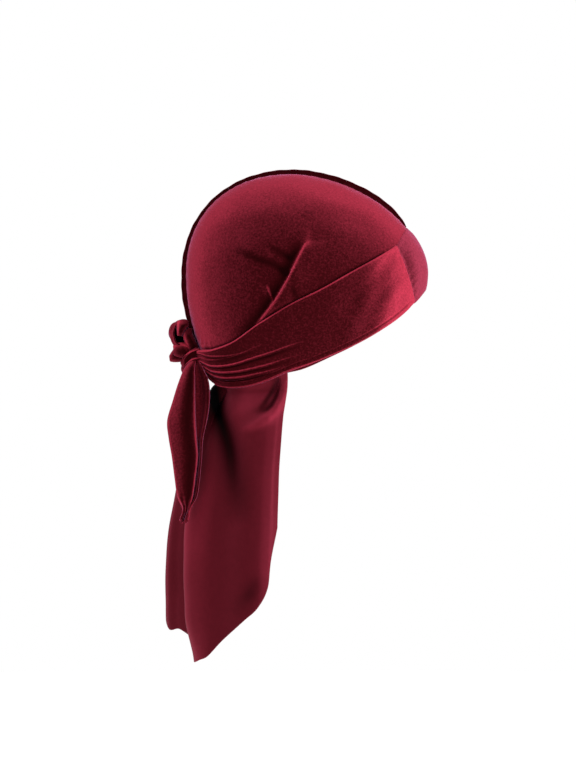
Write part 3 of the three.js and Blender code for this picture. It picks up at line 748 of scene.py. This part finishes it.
def strap_surface(rows, columns, seed):
    """Outer points of the strap on the wearer's right, its top edge first, and its painted shade and
    painted highlights."""
    s, t = grid_shares(rows, columns)
    at_seam = 1 - smoothstep(s, 0, 0.3)
    ruled = lerp(along(STRAP, "top_az", s), along(STRAP, "low_az", s), t)
    azimuth = ruled + at_seam * (seam_bend("azimuth", t) + 0.35)
    ruled_z = lerp(along(STRAP, "top_z", s), along(STRAP, "low_z", s), t)
    z = ruled_z + at_seam * seam_bend("z", t)
    pleat = np.zeros((rows + 1, columns + 1))
    painted_shading = np.zeros((rows + 1, columns + 1))
    for begins, across, passes, there, height, above, below in PLEATS:
        middle = lerp(across, there, (s - begins) / (passes - begins))
        middle = middle + 0.004 * np.sin(s * 21 + across * 30)
        shifted = t - middle
        full = smoothstep(s, begins, begins + 0.22)
        pleat += height * full * hump(shifted, 0, np.where(shifted > 0, below, above))
        # Painted shade lies below each ridge and in each groove, and a painted highlight along each crest.
        dark = hump(shifted, 0.05, 0.03) if height > 0 else hump(shifted, 0, 0.016)
        painted_shading += full * min(1, abs(height)) * 0.75 * dark
        if height > 0:
            painted_shading -= full * min(1, height) * 2.2 * hump(shifted, -0.004, 0.007)
    base = skin(azimuth, z)
    wide = np.linalg.norm(base[:, -1:] - base[:, :1], axis=-1)
    under_top, over_hem = t * wide, (1 - t) * wide
    knot_end = 1 - smoothstep(s, 0.9, 1)
    lift = STRAP_LIFT + CLOTH + lerp(along(STRAP, "top_lift", s), along(STRAP, "low_lift", s), t)
    # The folded top edge rolls over, and the hem has a stitched groove beside it.
    rolled = 0.3 * hump(under_top, 1.8, 1.2) - 0.7 * hump(under_top, 0, 0.6)
    hem = 0.45 * (1 - smoothstep(over_hem, 3.6, 4.6)) - 0.35 * hump(over_hem, 4.8, 0.7)
    hem = hem * smoothstep(s, 0.01, 0.04) - 1.2 * hump(over_hem, 0, 0.9)
    # Soft folds run up towards the face over the temple.
    forward, up = base[..., 0], base[..., 2]
    leaning = points(forward * 0.87 - up * 0.5, 0, (forward * 0.5 + up * 0.87) / 4)
    front = 1.1 * swell(leaning, 19, seed + 1) * window(s, 0.02, 0.1, 0.2, 0.45)
    front = front * window(t, 0.02, 0.2, 0.82, 0.97)
    soft = 0.3 * swell(base, 24, seed) * window(t, 0, 0.1, 0.85, 1)
    relief = pleat * lerp(0.6, 1, knot_end) + (rolled + hem) * knot_end + front + soft
    outer = lifted(base, lift + relief)
    # A painted highlight runs along the folded edge and over the front by the temple, random streaks of
    # painted shade and light cross the temple, and painted shade grows towards the knot.
    painted_shading -= 1.5 * hump(under_top, 0.4, 0.45) * smoothstep(s, 0.15, 0.4)
    painted_shading -= 0.5 * (1 - smoothstep(s, 0.08, 0.26))
    streaks = swell(leaning, 13, seed + 3) * 0.35 * window(s, 0.01, 0.06, 0.14, 0.32)
    painted_shading += streaks * smoothstep(t, 0.02, 0.1) + 0.3 * smoothstep(s, 0.7, 0.92)
    return outer, np.clip(painted_shading, STRAP_BRIGHTEST_PAINTED_HIGHLIGHT, DARKEST_PAINTED_SHADE)


def cape_surface(rows, columns):
    """Outer points of the cape, its right front edge first, and its painted shade. It leaves the neck
    little by little below the hem of the crown."""
    s, t = grid_shares(rows, columns)
    azimuth = along(CAPE, "azimuth", s)
    nape_z = along(NAPE, "z", np.abs(azimuth - 180) / 86)
    z = lerp(nape_z - 0.4, along(CAPE, "hem", s), t)
    behind = 1 - smoothstep(np.abs(azimuth - 180), 4, 20)
    stand_off = NAPE_STAND_OFF * behind * smoothstep(-z, 168, 180)
    neck = lifted(skin(azimuth + 0 * t, np.maximum(z, NECK_END)), SKIN_GAP + CLOTH / 2 + stand_off)
    flare = along(FLARE, "share", -z)
    tip = CAPE_TIP * smoothstep(-z, 360, 408) * smoothstep(0.3 - np.abs(s - 0.5), 0, 0.3)
    x = lerp(neck[..., 0], along(CAPE, "x", s) + tip, flare)
    y = lerp(neck[..., 1], along(CAPE, "y", s), flare)
    crease = CAPE_RELIEF * fold_height(CAPE_FOLDS, x, z) * (s < 0.3)
    hang = smoothstep(-z, 180, 260)
    valley = along(CAPE_VALLEY, "depth", z) * hump(x, along(CAPE_VALLEY, "x", z), 8)
    y = y - crease * smoothstep(t, 0.005, 0.05) + valley * (s < 0.4)
    middle = points(x, y, z)
    middle = middle + surface_normals(middle) * (0.8 * swell(middle, 46, 17) * hang)[..., None]
    # Painted shade and painted highlights from the table, on the cape's right half only.
    right_side = 1 - smoothstep(s, 0.44, 0.56)
    painted_shading = np.clip(CAPE_PAINTED_SHADE_STRENGTH * fold_height(CAPE_PAINTED_SHADING, x, z), -1.4, 1.2) * right_side
    # Painted highlights lie along its rear fold and where it leaves the straps.
    by_fold = window(s, 0.26, 0.38, 0.46, 0.54)
    painted_shading -= 0.5 * by_fold * smoothstep(-z, 230, 270) * (1 - 0.5 * smoothstep(-z, 290, 340))
    painted_shading -= 0.4 * (1 - smoothstep(-z, 180, 225)) * (1 - smoothstep(s, 0.2, 0.3))
    return outer_side(middle), painted_shading


def long_end_surface(rows, columns):
    """Outer points of the long end: a ribbon with a deep fold down its length and a frilled tip."""
    s, t = grid_shares(rows, columns)
    left, crease, right = (along(LONG_END, name, s) for name in ("left", "crease", "right"))
    depth = along(LONG_END, "depth", s)
    section = (
        (0, left, 2 + 0 * depth),
        (0.12, lerp(left, crease, 0.1), -0.2 * depth),
        (0.36, lerp(left, crease, 0.5), -depth),
        (0.56, lerp(left, crease, 0.94), -0.75 * depth),
        (0.62, crease, 0.5 * depth),
        (0.78, lerp(crease, right, 0.45), 0.5 * depth),
        (0.92, lerp(crease, right, 0.92), -0.5 * depth),
        (1, right, 0.3 * depth),
    )
    x = np.empty((rows + 1, columns + 1))
    y = np.empty((rows + 1, columns + 1))
    for i in range(rows + 1):
        rows_here = table("at x y", *((at, a[i, 0], b[i, 0]) for at, a, b in section))
        x[i] = along(rows_here, "x", t[0])
        y[i] = along(rows_here, "y", t[0])
    y += along(LONG_END, "y", s)
    frill = smoothstep(s, 0.8, 1)
    y += frill * 1.6 * np.sin(t * 22 + 1.5)
    middle = points(x, y, along(LONG_END, "z", s) + frill * 1.5 * np.sin(t * 15))
    return outer_side(middle)


def petal_surface(rows_table, rows, columns, ruffle, seed):
    """A flat fold of cloth that bulges towards the wearer's right, its edges rolled away."""
    s, t = grid_shares(rows, columns)
    x0, z0, x1, z1, y, bulge = (
        along(rows_table, name, s) for name in ("x0", "z0", "x1", "z1", "y", "bulge")
    )
    roll_away = 1 - np.abs(t * 2 - 1) ** 3
    end = 0.5 + 0.5 * (1 - (s * 2 - 1) ** 4)
    wave = np.sin(t * 9 + 3 * s + seed) + 0.6 * np.sin(s * 13 + 4 * t + seed * 2)
    ruffled = ruffle * wave * roll_away * np.sin(math.pi * s)
    depth = y + 3 - (bulge + 2.3) * roll_away * end + ruffled
    middle = points(lerp(x0, x1, t), depth, lerp(z0, z1, t))
    return outer_side(middle)


def lobe_surface(rows_table, rows, columns, closing):
    """A loop of ribbon that is open towards the wearer's right, with its front edge drawn in a little
    and its far side gathered shut at the closing point."""
    s, t = grid_shares(rows, columns)
    side = t * 2 - 1
    gathered = 0.97 * smoothstep(side, 0.3, 1)
    drawn = 0.3 * (1 - smoothstep(side, -1.1, -0.3)) + gathered
    across = along(rows_table, "y", s) + along(rows_table, "half_width", s) * side
    middle = points(
        lerp(along(rows_table, "x", s), closing[0], drawn),
        lerp(across, closing[1], gathered),
        lerp(along(rows_table, "z", s), closing[2], drawn),
    )
    wave = np.sin(19 * s + 2.5 * side) + 0.6 * np.sin(31 * s + 5 * side + 1)
    ruffled = 0.5 * wave * np.sin(math.pi * s) * (1 - smoothstep(side, 0.2, 0.8))
    middle = middle + surface_normals(middle) * ruffled[..., None]
    return outer_side(middle)


def roll(radius, path, seed, steps=160, sides=40):
    """Points and faces of a closed ring of rolled cloth through the points of a path, with folds along it,
    and its painted shade and painted highlights."""
    path = np.array(path, dtype=float)
    count = len(path)
    place = np.linspace(0, count, steps, endpoint=False)
    i, f = place.astype(int), (place % 1)[:, None]
    a, b, c, d = (path[(i + k) % count] for k in (-1, 0, 1, 2))
    centre = 0.5 * (
        2 * b + (c - a) * f
        + (2 * a - 5 * b + 4 * c - d) * f ** 2
        + (3 * b - a - 3 * c + d) * f ** 3
    )
    forward = np.roll(centre, -1, axis=0) - np.roll(centre, 1, axis=0)
    forward /= np.linalg.norm(forward, axis=1, keepdims=True)
    outwards = centre - path.mean(axis=0)
    outwards -= forward * (outwards * forward).sum(axis=1, keepdims=True)
    outwards /= np.linalg.norm(outwards, axis=1, keepdims=True)
    aside = np.cross(forward, outwards)
    angle, turn = circle(sides)[None, :], circle(steps)[:, None]
    groove = 0.1 * np.cos(5 * angle + 1.5 * np.sin(turn) + seed) + 0.05 * np.cos(9 * angle - 2 * turn)
    reach = radius * (1 + groove) * (1 + 0.08 * np.sin(3 * turn + seed))
    vertices = (
        centre[:, None]
        + outwards[:, None] * (reach * 0.8 * np.cos(angle))[..., None]
        + aside[:, None] * (reach * 1.1 * np.sin(angle))[..., None]
    ).reshape(-1, 3)
    index = np.arange(steps * sides).reshape(steps, sides)
    after, beside = np.roll(index, -1, axis=0), np.roll(index, -1, axis=1)
    faces = np.stack([index, after, np.roll(after, -1, axis=1), beside], axis=-1).reshape(-1, 4)
    # A painted highlight lies along the upward-facing top of each roll, and painted shade on the rest.
    up = outwards[:, None, 2] * np.cos(angle) + aside[:, None, 2] * np.sin(angle)
    painted_shading = 0.45 - 2.8 * hump(up, 0.66, 0.12)
    return vertices, faces, painted_shading.ravel()


def knot_piece(name, material):
    """The rolls of the knot as one piece."""
    vertices, faces, painted_shading, start = [], [], [], 0
    for seed, (radius, path) in enumerate(KNOT_ROLLS):
        ring_vertices, ring_faces, ring_painted_shading = roll(radius, path, seed)
        vertices.append(ring_vertices)
        faces.append(ring_faces + start)
        painted_shading.append(ring_painted_shading)
        start += len(ring_vertices)
    knot = mesh_piece(name, np.concatenate(vertices), np.concatenate(faces), [material])
    mark_painted_shading(knot, np.concatenate(painted_shading))
    return knot


def long_end_painted_shading(columns):
    """Painted shade in the folds of the long end and painted highlights on their edges, across it."""
    across = np.linspace(0, 1, columns)[None, :]
    return sum(share * hump(across, place, width) for place, width, share in LONG_END_PAINTED_SHADING)


def bow_fold_painted_shading(columns):
    """Painted shade across a small fold, with a painted highlight along its first edge."""
    across = np.linspace(0, 1, columns)[None, :]
    return 0.5 * smoothstep(across, 0.25, 0.6) - 2.4 * hump(across, 0.12, 0.08)


def set_inputs(node, values):
    for name, value in values.items():
        node.inputs[name].default_value = value


def noise_node(nodes, scale, detail, roughness):
    node = nodes.new("ShaderNodeTexNoise")
    set_inputs(node, {"Scale": scale, "Detail": detail, "Roughness": roughness})
    return node


def pile_group():
    """Patches and fine grain of a velvet pile, as two masks and a height."""
    name = "velvet_pile"
    if name in bpy.data.node_groups:
        return bpy.data.node_groups[name]
    group = bpy.data.node_groups.new(name, "ShaderNodeTree")
    for label, value in (("Patch Scale", 160.0), ("Grain Scale", 1500.0)):
        socket = group.interface.new_socket(name=label, in_out="INPUT", socket_type="NodeSocketFloat")
        socket.default_value = value
    for label in ("Patches", "Grain"):
        group.interface.new_socket(name=label, in_out="OUTPUT", socket_type="NodeSocketFloat")
    nodes, links = group.nodes, group.links
    source = nodes.new("NodeGroupInput")
    target = nodes.new("NodeGroupOutput")
    coordinates = nodes.new("ShaderNodeTexCoord")
    patches = noise_node(nodes, 160, 4, 0.65)
    grain = noise_node(nodes, 1500, 2, 0.7)
    for noise, label in ((patches, "Patch Scale"), (grain, "Grain Scale")):
        links.new(coordinates.outputs["Object"], noise.inputs["Vector"])
        links.new(source.outputs[label], noise.inputs["Scale"])
    links.new(patches.outputs["Fac"], target.inputs["Patches"])
    links.new(grain.outputs["Fac"], target.inputs["Grain"])
    return group


def math_node(tree, operation, *values, clamp=False):
    """Result of a math node whose values are numbers or outputs of other nodes."""
    node = tree.nodes.new("ShaderNodeMath")
    node.operation = operation
    node.use_clamp = clamp
    for value, socket in zip(values, node.inputs):
        if isinstance(value, bpy.types.NodeSocket):
            tree.links.new(value, socket)
        else:
            socket.default_value = value
    return node.outputs[0]


def vector_node(tree, operation, source):
    """A vector node that works on the output of another node."""
    node = tree.nodes.new("ShaderNodeVectorMath")
    node.operation = operation
    tree.links.new(source, node.inputs[0])
    return node


def cloth_material(name, deep, bright, surface, finish):
    """Cloth that is dark where it faces the eye and bright where it turns away."""
    if name in bpy.data.materials:
        return bpy.data.materials[name]
    material = bpy.data.materials.new(name)
    material.use_nodes = True
    tree = material.node_tree
    nodes, links = tree.nodes, tree.links
    shader = nodes["Principled BSDF"]
    set_inputs(shader, surface)
    pile = nodes.new("ShaderNodeGroup")
    pile.node_tree = pile_group()
    set_inputs(pile, {"Patch Scale": finish["patch_scale"], "Grain Scale": finish["grain_scale"]})
    bump = nodes.new("ShaderNodeBump")
    set_inputs(bump, {"Strength": finish["bump"], "Distance": GRAIN_DEPTH})
    links.new(pile.outputs["Grain"], bump.inputs["Height"])
    links.new(bump.outputs["Normal"], shader.inputs["Normal"])
    # A fixed tilt of the normal paints light from the face side and from above, so the cloth turns bright
    # sooner on that side.
    painted_light_tilt = vector_node(tree, "ADD", bump.outputs["Normal"])
    painted_light_tilt.inputs[1].default_value = finish["painted_light_tilt"]
    upright = vector_node(tree, "NORMALIZE", painted_light_tilt.outputs["Vector"])
    facing = nodes.new("ShaderNodeLayerWeight")
    facing.inputs["Blend"].default_value = 0.5
    links.new(upright.outputs["Vector"], facing.inputs["Normal"])
    power = math_node(tree, "POWER", facing.outputs["Facing"], finish["falloff"])
    curve = math_node(tree, "MULTIPLY", power, finish["gain"])
    offset = math_node(tree, "SUBTRACT", pile.outputs["Patches"], 0.5)
    spread = math_node(tree, "MULTIPLY", offset, finish["patches"])
    # Painted shade darkens the cloth and a painted highlight brightens it.
    attribute = nodes.new("ShaderNodeAttribute")
    attribute.attribute_name = "painted_shading"
    painted_shading = attribute.outputs["Fac"]
    raised = math_node(tree, "MULTIPLY_ADD", painted_shading, PAINTED_SHADING_TO_BRIGHT, curve)
    total = math_node(tree, "ADD", raised, spread, clamp=True)
    mix = nodes.new("ShaderNodeMix")
    mix.data_type = "RGBA"
    mix.inputs["A"].default_value = (*deep, 1)
    mix.inputs["B"].default_value = (*bright, 1)
    links.new(total, mix.inputs["Factor"])
    strength = math_node(tree, "MULTIPLY_ADD", offset, finish["grain"], 1)
    lightness = math_node(tree, "MULTIPLY_ADD", painted_shading, PAINTED_SHADING_TO_LIGHT, 1)
    limited = math_node(tree, "MINIMUM", lightness, LIGHTEST)
    grained = vector_node(tree, "SCALE", mix.outputs["Result"])
    links.new(math_node(tree, "MULTIPLY", strength, limited), grained.inputs["Scale"])
    links.new(grained.outputs["Vector"], shader.inputs["Base Color"])
    return material


def velvet_material(context, name="velvet_pile_side", painted_light_tilt=CROWN_PAINTED_LIGHT_TILT, falloff=1.4, gain=2.4, bright=None):
    """Velvet with its pile side out."""
    colours = context.scene.durag_colours
    surface = {
        "Roughness": 0.85, "Specular IOR Level": 0.01, "Sheen Weight": 0.6, "Sheen Roughness": 0.18,
        "Sheen Tint": (*colours.velvet_sheen, 1),
    }
    return cloth_material(name, colours.velvet_deep, bright or colours.velvet_bright, surface, {
        "patch_scale": 600, "grain_scale": 1500, "bump": 0.4, "falloff": falloff, "gain": gain,
        "patches": 0.7, "grain": 1.1, "painted_light_tilt": painted_light_tilt,
    })


def satin_material(context):
    """The smooth side of the velvet."""
    colours = context.scene.durag_colours
    surface = {
        "Roughness": 0.55, "Specular IOR Level": 0.02, "Sheen Weight": 0.015, "Sheen Roughness": 0.4,
        "Sheen Tint": (*colours.velvet_sheen, 1),
    }
    return cloth_material("velvet_smooth_side", colours.satin_deep, colours.satin_bright, surface, {
        "patch_scale": 200, "grain_scale": 1700, "bump": 0.12, "falloff": 1.1, "gain": 2.6,
        "patches": 0.1, "grain": 0.2, "painted_light_tilt": SATIN_PAINTED_LIGHT_TILT,
    })


class DuragSizes(bpy.types.PropertyGroup):
    cloth: FloatProperty(
        name="Cloth", description="Thickness of the velvet", default=CLOTH * MM,
        min=0.0008, max=0.002, unit="LENGTH", subtype="DISTANCE")
    band: FloatProperty(
        name="Band", description="Thickness of the double cloth over the forehead",
        default=BAND_CLOTH * MM,
        min=0.0016, max=0.004, unit="LENGTH", subtype="DISTANCE")
    band_fullness: FloatProperty(
        name="Band fullness", description="How far the middle of the band stands out",
        default=BAND_FULLNESS * MM,
        min=0, max=0.003, unit="LENGTH", subtype="DISTANCE")


class DuragColours(bpy.types.PropertyGroup):
    velvet_deep: FloatVectorProperty(
        name="Velvet", description="Velvet seen straight on", subtype="COLOR",
        default=(0.045, 0.0024, 0.0042), min=0, max=1)
    velvet_bright: FloatVectorProperty(
        name="Velvet edge", description="Velvet seen along its pile", subtype="COLOR",
        default=(0.285, 0.0205, 0.0405), min=0, max=1)
    # A pinker edge colour for the band alone: painted sheen where the band turns to the light.
    band_bright_painted_sheen: FloatVectorProperty(
        name="Band edge", description="Velvet of the band seen along its pile", subtype="COLOR",
        default=(0.285, 0.029, 0.057), min=0, max=1)
    velvet_sheen: FloatVectorProperty(
        name="Sheen", description="Light caught by the tips of the pile", subtype="COLOR",
        default=(0.85, 0.4, 0.78), min=0, max=1)
    satin_deep: FloatVectorProperty(
        name="Smooth side", description="Smooth side of the cloth seen straight on", subtype="COLOR",
        default=(0.086, 0.0053, 0.0108), min=0, max=1)
    satin_bright: FloatVectorProperty(
        name="Smooth side edge", description="Smooth side seen at a low angle", subtype="COLOR",
        default=(0.166, 0.0125, 0.026), min=0, max=1)


class DuragStudio(bpy.types.PropertyGroup):
    floor: FloatProperty(
        name="Floor", description="Depth of the floor under the crown", default=0.5,
        min=0.45, max=2, unit="LENGTH", subtype="DISTANCE")
    distance: FloatProperty(
        name="Camera distance", description="From the camera to the durag", default=4,
        min=2, max=10, unit="LENGTH", subtype="DISTANCE")
    surround: FloatProperty(
        name="Surround", description="Brightness of the white room around the durag", default=0.6,
        min=0, max=3)


class DURAG_OT_crown(bpy.types.Operator):
    """Makes the two crown panels with their raised centre seam"""
    bl_idname = "durag.crown"
    bl_label = "Crown"

    def execute(self, context):
        materials = [velvet_material(context), satin_material(context)]
        thick = context.scene.durag_sizes.cloth / MM
        for name, rows, columns, mirrored in (("right", 250, 160, False), ("left", 170, 100, True)):
            outer, painted_shading = crown_surface(rows, columns, -1 if mirrored else 1, not mirrored)
            thickness = np.full(outer.shape[:2] + (1,), thick)
            thickness[:, :SEAM_ROWS] = SEAM_CLOTH
            piece = cloth_piece("crown_cloth_" + name, outer, thickness, materials, mirrored, painted_shading)
            dressed(piece, "crown_panel_" + name)
        return {"FINISHED"}


class DURAG_OT_front_band(bpy.types.Operator):
    """Makes the double band over the forehead"""
    bl_idname = "durag.front_band"
    bl_label = "Front band"

    def execute(self, context):
        sizes = context.scene.durag_sizes
        outer = band_surface(rows=160, columns=80, fullness=sizes.band_fullness / MM)
        # The band gets its own copy of the velvet, with painted sheen.
        bright = context.scene.durag_colours.band_bright_painted_sheen
        velvet = velvet_material(context, "velvet_band_painted_sheen", gain=2.2, bright=bright)
        piece = cloth_piece("band_cloth", outer, sizes.band / MM, [velvet, satin_material(context)])
        dressed(piece, "front_band")
        return {"FINISHED"}


class DURAG_OT_straps(bpy.types.Operator):
    """Makes the two straps that wrap round to the knot"""
    bl_idname = "durag.straps"
    bl_label = "Straps"

    def execute(self, context):
        velvet = velvet_material(context, "velvet_strap_side", STRAP_PAINTED_LIGHT_TILT, STRAP_FALLOFF, STRAP_GAIN)
        materials = [velvet, satin_material(context)]
        thick = context.scene.durag_sizes.cloth / MM
        for name, rows, columns, mirrored in (("right", 260, 150, False), ("left", 200, 100, True)):
            outer, painted_shading = strap_surface(rows, columns, 23 if mirrored else 19)
            piece = cloth_piece("strap_cloth_" + name, outer, thick, materials, mirrored, painted_shading)
            dressed(piece, "strap_" + name)
        return {"FINISHED"}


class DURAG_OT_cape(bpy.types.Operator):
    """Makes the cape that hangs down the neck"""
    bl_idname = "durag.cape"
    bl_label = "Cape"

    def execute(self, context):
        outer, painted_shading = cape_surface(rows=260, columns=120)
        materials = [satin_material(context), velvet_material(context)]
        thick = context.scene.durag_sizes.cloth / MM
        # The inner side of the cape gets a little painted shade.
        piece = cloth_piece(
            "cape_cloth", outer, thick, materials, painted_shading=painted_shading, painted_shading_inside=0.05)
        dressed(piece, "cape")
        return {"FINISHED"}


class DURAG_OT_tie(bpy.types.Operator):
    """Makes the knot with its bow loop and its two ends"""
    bl_idname = "durag.tie"
    bl_label = "Tie"

    def execute(self, context):
        velvet = velvet_material(context)
        both_sides = [velvet, velvet]
        thick = context.scene.durag_sizes.cloth / MM
        knot = knot_piece("knot_rolls", velvet)
        dressed(knot, "knot")
        long_end = long_end_surface(rows=180, columns=90)
        short_end = petal_surface(SHORT_FOLD, rows=60, columns=60, ruffle=0.25, seed=2)
        bow_loop = lobe_surface(OUTER_LOBE, rows=160, columns=80, closing=LOBE_CLOSING)
        # Painted shade on the ends and the loop, darker on their inner sides and darkest inside the bow's
        # loop.
        for name, outer, painted_shading, inside, flat in (
            ("long_end", long_end, long_end_painted_shading(long_end.shape[1]), 0.4, (0.033, 0.14)),
            ("short_end", short_end, 0.2, 0.6, (0.0115, 0.016)),
            ("bow_loop", bow_loop, 0.35, 0.85, (0.026, 0.05)),
        ):
            piece = cloth_piece(
                name + "_cloth", outer, thick, both_sides, painted_shading=painted_shading, painted_shading_inside=inside)
            dressed(piece, name)
        for name, edges, flat in BOW_FOLDS:
            outer = petal_surface(edges, rows=70, columns=50, ruffle=0.3, seed=5)
            painted_shading = bow_fold_painted_shading(outer.shape[1])
            piece = cloth_piece(name, outer, thick, both_sides, painted_shading=painted_shading)
            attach(piece, "root")
        return {"FINISHED"}


class DURAG_OT_stage(bpy.types.Operator):
    """Sets the pale floor, the soft lights and the camera"""
    bl_idname = "durag.stage"
    bl_label = "Stage"

    def execute(self, context):
        studio = context.scene.durag_studio
        scene = context.scene
        scene.view_settings.view_transform = "Standard"
        world = bpy.data.worlds.new("white_room")
        world.use_nodes = True
        scene.world = world
        nodes, links = world.node_tree.nodes, world.node_tree.links
        room = nodes["Background"]
        set_inputs(room, {"Color": WHITE, "Strength": studio.surround})
        seen = nodes.new("ShaderNodeBackground")
        set_inputs(seen, {"Color": WHITE, "Strength": 1})
        path = nodes.new("ShaderNodeLightPath")
        mix = nodes.new("ShaderNodeMixShader")
        links.new(path.outputs["Is Camera Ray"], mix.inputs["Fac"])
        links.new(room.outputs["Background"], mix.inputs[1])
        links.new(seen.outputs["Background"], mix.inputs[2])
        links.new(mix.outputs["Shader"], nodes["World Output"].inputs["Surface"])

        floor_material = bpy.data.materials.new("white_floor")
        floor_material.use_nodes = True
        shader = floor_material.node_tree.nodes["Principled BSDF"]
        set_inputs(shader, {
            "Base Color": (0.9, 0.9, 0.9, 1), "Roughness": 0.9,
            "Emission Color": WHITE, "Emission Strength": 0.35,
        })
        turn = circle(96)
        rim = points(FLOOR_RADIUS * np.cos(turn), FLOOR_RADIUS * np.sin(turn), -studio.floor / MM)
        mesh = bpy.data.meshes.new("floor")
        mesh.from_pydata((rim * MM).tolist(), [], [list(range(len(turn)))])
        mesh.materials.append(floor_material)
        placed("floor", mesh)

        for name, place, size, watts in LIGHTS:
            light = bpy.data.lights.new(name, "AREA")
            light.size = size
            light.energy = watts
            lamp = placed(name, light)
            lamp.location = place
            lamp.rotation_euler = (VIEW_MIDDLE - Vector(place)).to_track_quat("-Z", "Y").to_euler()

        camera = bpy.data.cameras.new("camera")
        camera.sensor_width = SENSOR
        camera.lens = SENSOR * studio.distance / VIEW_WIDTH
        camera.clip_end = 50
        scene.camera = placed("camera", camera)
        scene.camera.location = VIEW_MIDDLE + Vector((0, -studio.distance, 0))
        scene.camera.rotation_euler = (math.pi / 2, 0, 0)
        return {"FINISHED"}


OPERATORS = (
    DURAG_OT_crown, DURAG_OT_front_band, DURAG_OT_straps, DURAG_OT_cape, DURAG_OT_tie, DURAG_OT_stage,
)


class DURAG_PT_panel(bpy.types.Panel):
    bl_label = "Durag"
    bl_idname = "DURAG_PT_panel"
    bl_space_type = "VIEW_3D"
    bl_region_type = "UI"
    bl_category = "Durag"

    def draw(self, context):
        layout = self.layout
        for group_name, _ in GROUPS:
            group = getattr(context.scene, group_name)
            for name in group.bl_rna.properties.keys():
                if name not in ("rna_type", "name"):
                    layout.prop(group, name)
        for operator in OPERATORS:
            layout.operator(operator.bl_idname)


GROUPS = (
    ("durag_sizes", DuragSizes),
    ("durag_colours", DuragColours),
    ("durag_studio", DuragStudio),
)


def register():
    for name, group in GROUPS:
        bpy.utils.register_class(group)
        setattr(bpy.types.Scene, name, PointerProperty(type=group))
    for operator in OPERATORS:
        bpy.utils.register_class(operator)
    bpy.utils.register_class(DURAG_PT_panel)


def unregister():
    bpy.utils.unregister_class(DURAG_PT_panel)
    for operator in reversed(OPERATORS):
        bpy.utils.unregister_class(operator)
    for name, group in reversed(GROUPS):
        delattr(bpy.types.Scene, name)
        bpy.utils.unregister_class(group)


def main():
    register()
    bpy.ops.durag.crown()
    bpy.ops.durag.front_band()
    bpy.ops.durag.straps()
    bpy.ops.durag.cape()
    bpy.ops.durag.tie()
    bpy.ops.durag.stage()


if __name__ == "__main__":
    main()
